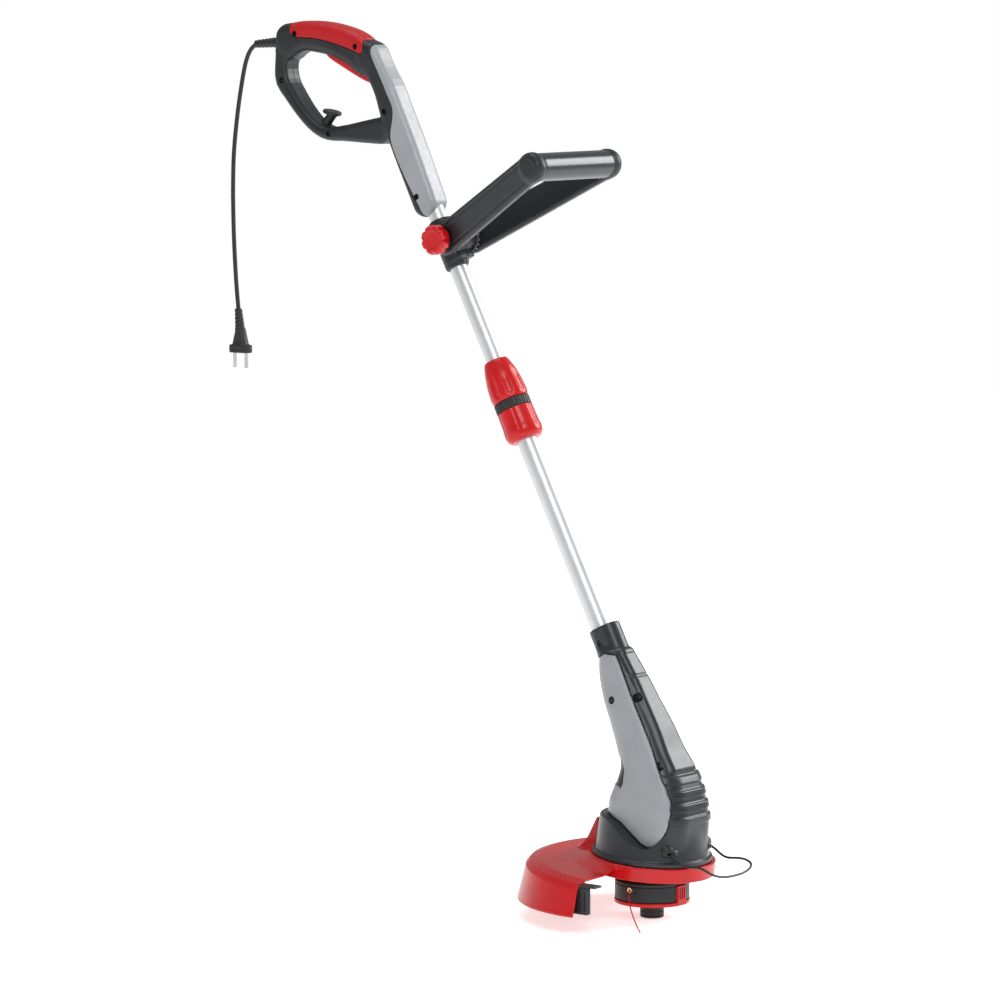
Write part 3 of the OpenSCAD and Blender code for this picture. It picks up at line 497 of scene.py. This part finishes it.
cord_route = smooth_route(CORD_POINTS, 5)
cord = swept("supply_cord", cord_route, CORD_D, "cord_rubber")
finish_piece(cord, "handle_unit", "cord_rubber", ["cord"])
plug = piece("plug_shell", plug_solid, (-669, -10, 645), (-629, 10, 705), 0.7, "cord_rubber", "handle_unit",
             ["plug_body"])
piece("cord_sleeve", relief_solid, (-628, -9, 1027), (-582, 9, 1048), 0.6, "black_plastic", "handle_unit",
      ["strain_relief"])

LINE_D = 1.6
LINE_POINTS = [
    (0, -45, 39), (1, -48.5, 37), (5, -53, 31), (12, -61, 24), (24, -72, 16), (40, -86, 8), (56, -100, 3)]
line_route = smooth_route(LINE_POINTS, 3)
line = swept("trimmer_line", line_route, LINE_D, "line_nylon", 10)
finish_piece(line, "spinning_head", "line_nylon", ["cutting_line"])


# ---- Rear handle -----------------------------------------------------------------------
GRIP = [
    (-228, 209, 21), (-211, 214, 19), (-178, 213.5, 19.5), (-149, 208, 20.5), (-124, 199, 21.5),
    (-106, 187, 21)]
LOOP = [
    (-228, 209, 21), (-238, 190, 11), (-237.5, 158, 10.2), (-227, 143.5, 9), (-166, 95, 8), (-137, 96, 10),
    (-108, 98, 13.5), (-82, 100, 16.5)]
NECK = [
    (-100, 192, 16.5), (-86, 170, 15), (-74, 150, 16), (-64, 126, 17.5), (-51, 98, 18.5),
    (-11, 13.5, 17.5)]
COVER = rounded([
    (-61, 97), (-58, 81), (-44, 55), (-30, 32), (-16, 11), (-6, -6), (7, -12), (60, -12), (60, 60),
    (-20, 225),
    (-84, 214), (-93, 203), (-90, 190), (-81, 174), (-71, 156), (-64, 142), (-56, 128), (-57, 113)])
INSERT = rounded([
    (-222, 226), (-219, 216), (-209, 213.5), (-182, 213.5), (-150, 207), (-121, 199), (-105, 193),
    (-103, 200),
    (-106, 210), (-102, 219), (-102, 240), (-222, 240)])
TRIGGER = rounded([
    (-170, 203), (-170, 192), (-163, 187), (-148, 179.5), (-120, 166), (-99.5, 157.5), (-97, 161), (-97, 178),
    (-128, 192), (-150, 202)])
TRIGGER_PIVOT = (-163, 198)
HANDLE_SCREWS = [(-213.5, 218), (-116, 203), (-236, 160), (-160, 95), (-70, 124), (-19, 21)]
HOLLOWS = [((-206, 137), (-190, 124.5)), ((-183, 119), (-164, 104))]


def handle_form(u, y, w):
    grip = corner(chain2(u, w, GRIP), np.abs(y) - HALF_W, 12)
    loop = corner(chain2(u, w, LOOP), np.abs(y) - HALF_W + 1, 7)
    neck = corner(chain2(u, w, NECK), np.abs(y) - HALF_W, 9)
    return smin(smin(grip, loop, 4), neck, 5)


def trigger_slot(u, y, w):
    swing = [polygon(u, w, TRIGGER)]
    for degrees in (2, 4, 6, 8):
        c, s = math.cos(math.radians(degrees)), math.sin(math.radians(degrees))
        du, dw = u - TRIGGER_PIVOT[0], w - TRIGGER_PIVOT[1]
        swing.append(polygon(TRIGGER_PIVOT[0] + du * c + dw * s, TRIGGER_PIVOT[1] - du * s + dw * c, TRIGGER))
    return corner(np.minimum.reduce(swing) - 1.2, np.abs(y) - 9.8, 0.6)


def handle_shell(x, y, z):
    u, w = x - HANDLE_0[0], z - HANDLE_0[2]
    form = handle_form(u, y, w)
    d = form + 0.25 * bump_line(y, 0.9)
    d = smax(d, -corner(polygon(u, w, COVER) - 0.5, -form - 2.2, 0.3), 0.6)
    d = smax(d, -corner(polygon(u, w, INSERT) - 0.5, -form - 1.6, 0.3), 0.6)
    d = smax(d, -trigger_slot(u, y, w), 1.2)
    for a, b in HANDLE_SCREWS:
        d = smax(d, -corner(np.hypot(u - a, w - b) - 3.7, y + HALF_W - 5.5, 0.3), 0.5)
    for (ax, az), (bx, bz) in HOLLOWS:
        pocket = corner(capsule2(u, w, (ax + 4, az + 6, 4), (bx + 4, bz + 6, 4)), np.abs(y) - 11, 2)
        d = smax(d, -pocket, 1.0)
    fore, up = shaft_frame(x, z, HANDLE_AT - 30)
    return smax(d, -corner(np.hypot(fore, y) - UPPER_R - 0.4, np.abs(up) - 20, 0.3), 0.8)


def handle_cover(x, y, z):
    u, w = x - HANDLE_0[0], z - HANDLE_0[2]
    form = handle_form(u, y, w)
    d = smax(smax(form, polygon(u, w, COVER), 1.2), -form - 2.2, 0.5)
    fore, up = shaft_frame(x, z, HANDLE_AT - 30)
    d = smax(d, -corner(np.hypot(fore, y) - UPPER_R - 0.6, np.abs(up) - 26, 0.3), 0.8)
    return smax(d, -corner(np.hypot(u + 19, w - 21) - 3.7, y + HALF_W - 5.5, 0.3), 0.5)


def grip_insert(x, y, z):
    u, w = x - HANDLE_0[0], z - HANDLE_0[2]
    form = handle_form(u, y, w)
    d = smax(form - 0.4, polygon(u, w, INSERT), 1.6)
    for a, b in HANDLE_SCREWS[:2]:
        d = smax(d, -corner(np.hypot(u - a, w - b) - 3.7, y + HALF_W - 5.5, 0.3), 0.5)
    return smax(d, -form - 1.6, 0.5)


def trigger(x, y, z):
    u, w = x - HANDLE_0[0], z - HANDLE_0[2]
    return corner(polygon(u, w, TRIGGER), np.abs(y) - 9 + 0.25 * bump_line((u + 100) % 7 - 3.5, 0.8), 2.5)


def cable_hook(x, y, z):
    u, w = x - HANDLE_0[0] + 178, z - HANDLE_0[2] - 105
    s, c = math.sin(math.radians(42)), math.cos(math.radians(42))
    across, along = u * c - w * s, u * s + w * c
    stem = corner(np.hypot(across, y) - 6 - 1.2 * bump_line(along - 3, 3), np.abs(along - 11) - 8, 0.8)
    ax, az = across, along - 18
    s, c = math.sin(math.radians(-28)), math.cos(math.radians(-28))
    dx, dz = ax * c - az * s, ax * s + az * c
    disc = corner(np.hypot(dx + 1, y) - 12, np.abs(dz - 2.25) - 2.25, 1.8)
    return smin(stem, disc, 2.0)


def at_handle(u, y, w):
    return HANDLE_0[0] + u, y, HANDLE_0[2] + w


piece("handle_shells", handle_shell, at_handle(-254, -19, -18), at_handle(14, 19, 238), 1.0, "dark_shell",
      "handle_unit", ["handle_shell_right", "handle_shell_left"])
piece("handle_grey_cover", handle_cover, at_handle(-96, -19, -18), at_handle(14, 19, 238), 0.9, "grey_cover",
      "handle_unit", ["handle_cover"])
piece("handle_red_grip", grip_insert, at_handle(-226, -20, 188), at_handle(-96, 20, 238), 0.8, "red_soft",
      "handle_unit", ["grip_insert"])
piece("trigger_lever_body", trigger, at_handle(-173, -11, 154), at_handle(-94, 11, 206), 0.7, "red_plastic",
      "trigger_lever", ["trigger"])
piece("cable_hook_body", cable_hook, at_handle(-192, -14, 98), at_handle(-148, 14, 132), 0.6, "black_plastic",
      "handle_unit", ["cable_hook"])


# ---- Screws ----------------------------------------------------------------------------
def screw_head(x, y, z):
    """Pan head with a cross recess; its axis is Y and it faces -Y."""
    dome = corner(np.hypot(x, z) - 3.0, np.abs(y) - 1.2 + 0.05 * (x * x + z * z), 0.5)
    cross = np.minimum(box2(x, z, 1.9, 0.45, 0.1), box2(x, z, 0.45, 1.9, 0.1))
    return smax(dome, -corner(cross, y + 0.1, 0.1), 0.2)


def screws(name, places, body, nodes, mat="dark_steel"):
    """One object with a head at each place (x, y, z)."""
    points, quads, normals = skin(screw_head, (-4, -2.4, -4), (4, 2.4, 4), 0.3)
    all_points = np.concatenate([points + np.array(p) for p in places])
    all_quads = np.concatenate([quads + i * len(points) for i in range(len(places))])
    obj = mesh_object(name, all_points, all_quads, mat, np.tile(normals, (len(places), 1)))
    return finish_piece(obj, body, mat, nodes)


screws("handle_screw_heads", [(HANDLE_0[0] + a, -HALF_W + 4.6, HANDLE_0[2] + b) for a, b in HANDLE_SCREWS],
       "handle_unit", ["handle_screws"])

# ---- Front handle ----------------------------------------------------------------------
BAR_FWD, TIP_RISE = 194, 4
ARM_Y, CORNER_Y = 25.8, 74.0


def front_arms(x, y, z):
    fore, up = shaft_frame(x, z, BOLT_AT, BOLT_FWD)
    length = math.hypot(BAR_FWD - 2, CORNER_Y - ARM_Y)
    tx, ty = (BAR_FWD - 2) / length, (CORNER_Y - ARM_Y) / length
    side = np.abs(y)
    along = (fore - 2) * tx + (side - ARM_Y) * ty
    across = (side - ARM_Y) * tx - (fore - 2) * ty
    outline = capsule2(along, up, (0, -1, 19.5), (length, TIP_RISE, 17.2))
    arm = corner(outline, np.abs(across) - 6.5, 4.5)
    arm = arm + 0.8 * bump_line(outline + 7, 1.6) * np.clip(across, 0, 1)
    end = corner(np.hypot(fore - BAR_FWD, up - TIP_RISE) - 17, np.abs(side - 72) - 11, 8)
    d = smin(arm, end, 5)
    d = smax(d, -corner(np.hypot(fore, up) - 19.5, 32.6 - side, 0.4), 0.8)
    return smax(d, -np.maximum(np.hypot(fore, up) - 33, side - 19.4), 1.0)


def front_bar(x, y, z):
    fore, up = shaft_frame(x, z, BOLT_AT, BOLT_FWD)
    return corner(np.hypot(fore - BAR_FWD, up - TIP_RISE) - 16.95, np.abs(y) - 66.8, 0.4)


def bracket(x, y, z):
    fore, up = shaft_frame(x, z, BOLT_AT, BOLT_FWD)
    ear = corner(np.hypot(fore, up) - 15, np.abs(y) - 15, 1.5)
    sleeve = corner(np.hypot(fore + BOLT_FWD, y) - 15, np.abs(up) - 32, 3)
    neck = box3(fore + BOLT_FWD / 2, y, up, BOLT_FWD / 2 + 4, 14.8, 26, 2.5)
    d = smin(smin(ear, sleeve, 3), neck, 3)
    d = d + 0.6 * bump_line(y, 0.9)
    d = smax(d, -corner(np.hypot(fore, up) - 3.2, np.abs(y) - 40, 0.1), 0.3)
    return smax(d, -np.hypot(fore + BOLT_FWD, y) + UPPER_R + 0.2, 0.8)


def ratchets(x, y, z):
    fore, up = shaft_frame(x, z, BOLT_AT, BOLT_FWD)
    teeth = np.cos(18 * np.arctan2(up, fore)) * np.clip((np.hypot(fore, up) - 8) / 4, 0, 1)
    return corner(np.hypot(fore, up) - 18.6 + teeth, np.abs(np.abs(y) - 17) - 1.7 + 0.5 * teeth, 0.4)


def knob(x, y, z):
    fore, up = shaft_frame(x, z, BOLT_AT, BOLT_FWD)
    depth = -y - 32.6
    scallop = 1.9 * np.clip(-np.cos(8 * np.arctan2(up, fore)), 0, 1) ** 1.3
    wide = np.interp(depth, [0, 5, 8, 16, 20], [13.5, 15, 18.4, 18.4, 16.8])
    wide = wide - scallop * np.clip((depth - 4) / 4, 0, 1)
    d = corner(np.hypot(fore, up) - wide, np.abs(depth - 10) - 10, 2.4)
    dish = corner(np.hypot(fore, up) - 10.5, 18.6 - depth, 1.5)
    return smax(d, -dish, 1.6)


def front_box(x0, x1, y0, y1, z0, z1):
    """Box round a shape given in the bolt's directions."""
    corners = [on_axis(BOLT_AT + b, BOLT_FWD + a) for a in (x0, x1) for b in (z0, z1)]
    xs, zs = [c[0] for c in corners], [c[2] for c in corners]
    return (min(xs), y0, min(zs)), (max(xs), y1, max(zs))


low, high = front_box(-22, 214, -85, 85, -24, 24)
piece("front_handle_arms", front_arms, low, high, 1.3, "dark_shell", "loop_handle", ["front_handle"])
low, high = front_box(175, 213, -69, 69, -15, 23)
piece("front_handle_grip", front_bar, low, high, 1.0, "bar_gloss", "loop_handle", slot="dark_shell")
low, high = front_box(-34, 18, -18, 18, -35, 35)
piece("handle_bracket_body", bracket, low, high, 0.9, "dark_shell", "handle_unit", ["handle_bracket"])
low, high = front_box(-21, 21, -20, 20, -21, 21)
piece("ratchet_teeth", ratchets, low, high, 0.7, "gear_grey", "handle_unit", ["ratchet_discs"], "dark_steel")
low, high = front_box(-20, 20, -54, -31, -20, 20)
piece("clamp_knob_body", knob, low, high, 0.6, "red_plastic", "clamp_knob", ["handle_knob"])


# ---- Telescopic clamp ------------------------------------------------------------------
def shaft_box(up0, up1, r):
    corners = [on_axis(u, f) for u in (up0, up1) for f in (-r, r)]
    return (min(c[0] for c in corners), -r, min(c[2] for c in corners)), (
        max(c[0] for c in corners), r, max(c[2] for c in corners))


def clamp_sleeve(x, y, z):
    fore, up = shaft_frame(x, z, CLAMP_AT)
    angle = np.arctan2(y, fore)
    radius = curve_at(up, [0, 3, 8, 20, 32, 40], [18.5, 21.5, 23.3, 22.9, 22.5, 22.4])
    radius = radius - 0.7 * np.clip(np.cos(6 * angle), 0, 1) ** 6 * np.clip((up - 6) / 6, 0, 1)
    outer = corner(np.hypot(fore, y) - radius, np.abs(up - 20) - 20, 1.0)
    step = corner(np.hypot(fore, y) - 18.4, np.abs(up - 26) - 26, 0.5)
    bore = np.hypot(fore, y) - LOWER_R - 0.1
    return smax(np.minimum(outer, step), -bore, 0.6)


def clamp_band(x, y, z):
    fore, up = shaft_frame(x, z, BAND_AT)
    angle = np.arctan2(y, fore)
    radius = 22.3 - 0.55 * np.clip(np.cos(36 * angle), -0.2, 1)
    outer = corner(np.hypot(fore, y) - radius, np.abs(up - 5.9) - 5.7, 0.7)
    return smax(outer, 18.6 - np.hypot(fore, y), 0.3)


def clamp_nut(x, y, z):
    fore, up = shaft_frame(x, z, NUT_AT)
    angle = np.arctan2(y, fore)
    radius = curve_at(up, [0, 3, 16, 25, 36, 44, 50, 53], [21.8, 22.5, 22.4, 21.5, 19.8, 17.6, 15.6, 14.2])
    fade = np.clip((up - 3) / 4, 0, 1) * np.clip((40 - up) / 16, 0, 1)
    flute = 1.1 * np.clip(np.cos(8 * angle), -0.3, 1) * fade
    outer = corner(np.hypot(fore, y) - radius + flute, np.abs(up - 26.5) - 26.4, 1.2)
    bore = np.hypot(fore, y) - np.where(up < 7, LOWER_R + 0.4, UPPER_R + 0.4) - np.clip(up - 51, 0, 2) * 0.7
    return smax(outer, -bore, 0.6)


low, high = shaft_box(CLAMP_AT - 2, BAND_AT + 14, 25)
piece("clamp_lower_sleeve", clamp_sleeve, low, high, 0.9, "red_plastic", "motor_unit", ["clamp_sleeve"])
low, high = shaft_box(BAND_AT - 1, NUT_AT + 1, 24)
piece("clamp_grip_band", clamp_band, low, high, 0.8, "black_plastic", "motor_unit", ["clamp_band"])
low, high = shaft_box(NUT_AT - 2, NUT_AT + 55, 24)
piece("clamp_nut_body", clamp_nut, low, high, 0.9, "red_plastic", "shaft_nut", ["clamp_nut"])

# ---- Motor housing ---------------------------------------------------------------------
SECTION_Z = [82, 98, 134, 142, 162, 185, 208, 232, 265, 289, 316]
REAR_X = [-54, -52, -45, -44, -37, -31, -38, -48, -63, -70, -72]
FRONT_X = [60, 63, 64, 62, 57, 46, 31, 18, -3, -18, -37]
HALF_Y = [45, 45, 44, 44, 42, 39, 36, 33, 28, 24, 20]
ROUND_R = [28, 28, 28, 28, 28, 26, 25, 24, 22, 20, 17]
SIDE_COVER = rounded([
    (-47, 321), (-30, 294), (-12, 263), (8, 232), (24, 203), (36, 181), (46, 164), (53, 148), (54, 132),
    (51, 116), (44, 102), (34, 94), (22, 93), (0, 109), (-20, 124), (-60, 134), (-95, 150), (-60, 166),
    (-24, 163), (-14, 158), (-14, 190), (-40, 200), (-95, 215), (-110, 290), (-90, 298)], 1)
HOUSING_SCREWS = [(-8.5, 267, 16.5), (34, 190, 31)]
COVER_SCREW = (-40, 262)
COVER_SCREW_DEPTH = 27.6
PIVOT = (56, 88)


def housing_body(x, y, z):
    rear, front = curve_at(z, SECTION_Z, REAR_X), curve_at(z, SECTION_Z, FRONT_X)
    half, r = curve_at(z, SECTION_Z, HALF_Y), curve_at(z, SECTION_Z, ROUND_R)
    d = box2(x - (rear + front) / 2, y, (front - rear) / 2, half, r)
    return smax(smax(d, z - 317, 4), 80 - z, 2)


def collar_form(x, y, z):
    fore, up = shaft_frame(x, z, COLLAR_AT)
    oval = capsule2(fore, y, (0, 0, 16), (9, 0, 15.5))
    return corner(oval, np.abs(up + 19) - 19, 2.2), fore, up


def housing(x, y, z):
    body = housing_body(x, y, z)
    front = curve_at(z, SECTION_Z, FRONT_X)
    collar, fore, up = collar_form(x, y, z)
    d = smin(body, collar, 9)
    width = np.interp(z, [182, 208, 265, 316, 340], [26, 23, 18, 14.5, 13])
    proud = np.interp(z, [178, 186, 265, 316, 340], [0.5, 2.6, 3.4, 4.0, 3.0])
    ridge = box2(x - front + 12, y, 12 + proud, width, 8)
    ridge = smax(smax(ridge, z - 322, 8), 181 - z, 3)
    ridge = ridge + bump_line(z - 290 + 0.1 * x, 1.8)
    d = d + 0.3 * bump_line(y, 0.9)
    d = smin(d, ridge, 3)
    row = z - 128 + 0.12 * (x - 40)
    band = np.clip(0.75 + 1.3 * np.cos(row * 2 * np.pi / 15.5), 0, 1) * (np.abs(row - 23.2) < 31)
    reach = np.clip((x - front + 36) / 8, 0, 1)
    d = smin(d, body - 2.4 * band * reach, 0.8)
    drum = corner(np.hypot(x, y) - np.interp(z, [76, 128], [69, 62.5]), np.abs(z - 100) - 28, 3.5)
    d = smin(d, drum, 2.5)
    fx, fz = foot_frame(x, z)
    flange = corner(np.hypot(fx, y) - 72, np.abs(fz - 3) - 3, 1.2)
    d = smin(d, flange, 2)
    d = smax(d, -corner(polygon(x, z, SIDE_COVER) - 0.6, -body - 1.4, 0.3), 0.7)
    for a, b, depth in HOUSING_SCREWS:
        d = smax(d, -corner(np.hypot(x - a, z - b) - 5.2, np.abs(y + depth + 6) - 7.3, 0.3), 0.6)
    d = smax(d, -corner(np.hypot(fore, y) - LOWER_R - 0.9, -3 - up, 0.4), 0.8)
    d = smax(d, -corner(np.hypot(fore, up + 18) - 3.2, y + 12.5, 0.3), 0.5)
    return smax(d, -(np.hypot(x - PIVOT[0], z - PIVOT[1]) - 3.4) - 1000 * (np.abs(y) < 38.4), 0.5)


def side_cover(x, y, z):
    body = housing_body(x, y, z)
    d = smax(body - 1.3, polygon(x, z, SIDE_COVER), 2.2)
    d = smax(d, -(np.hypot(x - COVER_SCREW[0], z - COVER_SCREW[1]) - 4.6), 0.6)
    return smax(smax(d, -body - 1.0, 0.4), y, 0.4)


piece("motor_housing", housing, (-92, -76, 66), (82, 76, 368), 1.2, "housing_dark", "motor_unit",
      ["housing_right", "housing_left"], slot="dark_shell")
right = piece("side_cover_right_panel", side_cover, (-80, -50, 88), (60, 2, 324), 1.0, "grey_cover",
              "motor_unit", ["side_cover_right"])
mirrored(right, "side_cover_left_panel", ["side_cover_left"])
head_places = [(a, -depth, b) for a, b, depth in HOUSING_SCREWS]
head_places.append((COVER_SCREW[0], -COVER_SCREW_DEPTH, COVER_SCREW[1]))
screws("housing_screw_heads", head_places, "motor_unit", ["housing_screws"])


# ---- Guard -----------------------------------------------------------------------------
GUARD_R, RING_R, WALL, SKIRT_TOP = 161, 76, 3, -17
GUARD_CUT = math.radians(12)
SKIRT = [
    (GUARD_R + 2, -75), (GUARD_R - 8, SKIRT_TOP - 2), (GUARD_R - 13, SKIRT_TOP + 4),
    (GUARD_R - 24, SKIRT_TOP + 8), (RING_R + 22, SKIRT_TOP + 9), (RING_R - 1, -1), (RING_R - 1, -1 - WALL),
    (RING_R + 21, SKIRT_TOP + 9 - WALL), (GUARD_R - 25, SKIRT_TOP + 8 - WALL),
    (GUARD_R - 16, SKIRT_TOP + 2 - WALL), (GUARD_R - 8 - WALL, SKIRT_TOP - 3), (GUARD_R + 2 - WALL, -75)]
GUSSET = [(-GUARD_R + 36, 62), (-100, 76), (-88, 90), (-75, 114), (-71, 116), (-71, 62)]


def guard(x, y, z):
    fx, fz = foot_frame(x, z)
    d = polygon(np.hypot(fx - 3, y), fz, SKIRT) + 0.6
    cut = np.maximum(fx - 3, (fx - 3) * math.cos(GUARD_CUT) + y * math.sin(GUARD_CUT))
    d = smax(d, cut, 1.2) - 0.6
    deck = corner(np.abs(np.hypot(fx, y) - 59) - 17, np.abs(fz + 1.5) - 1.5, 0.8)
    lip = corner(np.abs(np.hypot(fx, y) - 74.6) - 1.5, np.abs(fz + 8.6) - 8.4, 0.8)
    d = smin(d, smin(deck, lip, 1.5), 2.0)
    web = corner(polygon(x, z, GUSSET), np.abs(y) - 13, 2.5)
    d = smin(d, web, 5)
    lip = corner(np.abs(np.hypot(fx - 3, y) - GUARD_R + 4.9) - 2.6, np.abs(z - 25) - 2, 1.0)
    d = smin(d, smax(lip, cut + 1, 0.5), 1.0)
    d = smax(d, -corner(np.hypot(fx, y) - 72.3, -fz, 0.3), 0.4)
    return smax(d, 23 - z, 0.8)


piece("guard_shell", guard, (-168, -168, 20), (82, 168, 120), 1.4, "red_plastic", "motor_unit", ["guard"])


def cutter_block(x, y, z):
    d = box3(x - 3.5, y + 145, z - 42, 10.5, 4, 16, 1.2)
    shelf = box3(x - 8, y + 141.5, z - 60, 17, 7.5, 1.4, 0.6)
    slots = box2((x + 7) % 7 - 3.5, z - 42, 0.9, 11, 0.6)
    return smax(smin(d, shelf, 1.5), -corner(slots, y + 147.6, 0.3), 0.4)


def cutter_blade(x, y, z):
    edge = np.clip((x - 15) / 3, 0, 1)
    return corner(box2(x - 15.2, z - 43, 2.2, 14, 0.5), np.abs(y + 148) - 0.9 * (1 - 0.7 * edge), 0.15)


piece("cutter_holder", cutter_block, (-11, -152, 24), (27, -131, 64), 0.8, "black_plastic", "motor_unit",
      ["line_cutter"])
piece("cutter_blade", cutter_blade, (11, -151, 27), (19, -145, 59), 0.5, "dark_steel", "motor_unit")


# ---- Plant guard -----------------------------------------------------------------------
def wire_bosses(x, y, z):
    cap = np.hypot(x - PIVOT[0], z - PIVOT[1])
    ball = np.sqrt((x - 48) ** 2 + (np.abs(y) - 38) ** 2 + (z - PIVOT[1] - 2) ** 2) - 10
    d = smin(corner(cap - 5.2, np.abs(np.abs(y) - 34) - 4.2, 2.2), ball, 2)
    return smax(d, -(cap - 1.7), 0.3)


WIRE = [
    (7, 41, 84), (16, 40.5, 78.5), (26, 40, 75.5), (42, 41, 76.5), (52, 43, 75), (60, 41, 71), (64, 30, 67),
    (66, 14, 65)]
side = [(PIVOT[0] + a, b, c) for a, b, c in WIRE]
loop = [(PIVOT[0], -34, PIVOT[1]), (PIVOT[0], -39, PIVOT[1])] + [(a, -b, c) for a, b, c in side]
loop += [(PIVOT[0] + 66, 0, 64.5)] + side[::-1]
loop += [(PIVOT[0], 39, PIVOT[1]), (PIVOT[0], 34, PIVOT[1])]
wire = swept("plant_guard_wire", smooth_route(loop, 3), 3, "dark_steel", 14, up=(0, 0, 1))
finish_piece(wire, "wire_guard", "dark_steel", ["plant_guard"])
piece("wire_boss_pair", wire_bosses, (36, -50, 76), (63, 50, 102), 0.8, "black_plastic", "motor_unit",
      ["wire_bosses"])

# ---- Spool -----------------------------------------------------------------------------
SPOOL_R, SPOOL_BASE, TAP_R = 45, 19, 14.5
TABS = [math.radians(-3), math.radians(177)]


def tab(x, y, z, angle, grow=0.0):
    across = y * math.cos(angle) - x * math.sin(angle)
    out = x * math.cos(angle) + y * math.sin(angle)
    block = box3(out - SPOOL_R + 1.2, across, z - SPOOL_BASE - 13, 2.7 + grow, 8 + grow, 12 + grow, 0.9)
    return block, out, across


def spool_housing(x, y, z):
    r = np.hypot(x, y)
    body = corner(r - SPOOL_R + 0.2, np.abs(z - 36) - 12, 2.0)
    step = corner(r - SPOOL_R + 4, np.abs(z - 47) - 2.2, 1.0)
    boss = corner(r - 11, np.abs(z - 52) - 5, 1.0)
    d = smin(smin(body, step, 1.0), boss, 1.5)
    d = d + 0.45 * bump_line(z - 43.5, 0.7)
    for a in TABS:
        d = smax(d, -tab(x, y, z, a, 0.5)[0], 0.4)
    d = smax(d, -corner(np.hypot(x, z - 39) - 2.6, y + 30, 0.3), 0.4)
    return smax(d, -corner(r - 42.3, z - 45.4, 0.4), 0.3)


def spool_cap(x, y, z):
    r = np.hypot(x, y)
    d = corner(r - SPOOL_R - 0.4, np.abs(z - SPOOL_BASE - 2.5) - 2.4, 1.2)
    d = d + 0.5 * bump_line(r - 34, 1.0) * (z < 21)
    for a in TABS:
        shape, out, across = tab(x, y, z, a)
        grip = corner(box2((across + 10) % 4 - 2, z - 34.5, 0.9, 7, 0.7), SPOOL_R - 0.2 - out, 0.2)
        d = smin(d, smax(shape, -grip, 0.4), 0.6)
    return smax(d, -(r - TAP_R - 0.4), 0.6)


def tap_button(x, y, z):
    r = np.hypot(x, y)
    d = corner(r - TAP_R, np.abs(z - 11.5) - 11.5, 2.0)
    d = d + 0.5 * bump_line(r - 9, 0.9) * (z < 3) + 0.4 * bump_line((z - 1.5) % 5 - 2.5, 0.7) * (r > 12)
    return smin(d, corner(r - 12, np.abs(z - 16) - 9, 0.5), 0.5)


piece("spool_case", spool_housing, (-48, -48, 22), (48, 48, 59), 0.9, "black_plastic", "spinning_head",
      ["spool_housing"])
piece("spool_lower_cap", spool_cap, (-48, -48, 17), (48, 48, 46), 0.8, "red_plastic", "spinning_head",
      ["spool_cap"])
piece("tap_button_body", tap_button, (-16, -16, -1.5), (16, 16, 27), 0.7, "black_plastic", "feed_button",
      ["tap_button"])


# ---- Floor and light -------------------------------------------------------------------
def add_floor():
    size = 500
    mesh = bpy.data.meshes.new("floor")
    corners = [(-size, -size, 0), (size, -size, 0), (size, size, 0), (-size, size, 0)]
    mesh.from_pydata(corners, [], [(0, 1, 2, 3)])
    mat = bpy.data.materials.new("floor")
    mat.use_nodes = True
    shader = mat.node_tree.nodes["Principled BSDF"]
    shader.inputs["Base Color"].default_value = (0.90, 0.90, 0.90, 1)
    shader.inputs["Roughness"].default_value = 0.55
    shader.inputs["Specular IOR Level"].default_value = 0.2
    shader.inputs["Emission Color"].default_value = (1, 1, 1, 1)
    shader.inputs["Emission Strength"].default_value = 0.62
    mesh.materials.append(mat)
    floor = bpy.data.objects.new("floor", mesh)
    bpy.context.scene.collection.objects.link(floor)


def add_light(name, place, target, size, power):
    data = bpy.data.lights.new(name, "AREA")
    data.shape, data.size, data.size_y, data.energy = "RECTANGLE", size[0], size[1], power
    light = bpy.data.objects.new(name, data)
    light.location = place
    light.rotation_euler = (Vector(target) - Vector(place)).to_track_quat("-Z", "Y").to_euler()
    bpy.context.scene.collection.objects.link(light)


def add_sky():
    world = bpy.data.worlds.new("studio")
    world.use_nodes = True
    back = world.node_tree.nodes["Background"]
    back.inputs["Color"].default_value = (1, 1, 1, 1)
    back.inputs["Strength"].default_value = 0.42
    bpy.context.scene.world = world


add_floor()
add_sky()
add_light("front_panel", (1.5, 2.8, 2.1), (0.0, 0, 0.7), (1.6, 1.8), 95)
add_light("key_panel", (2.4, -2.6, 3.0), (-0.2, 0, 0.5), (1.6, 1.6), 62)
add_light("top_panel", (-0.6, -0.3, 3.6), (-0.2, 0, 0.4), (2.0, 2.0), 35)
bpy.context.scene.view_settings.view_transform = "Standard"
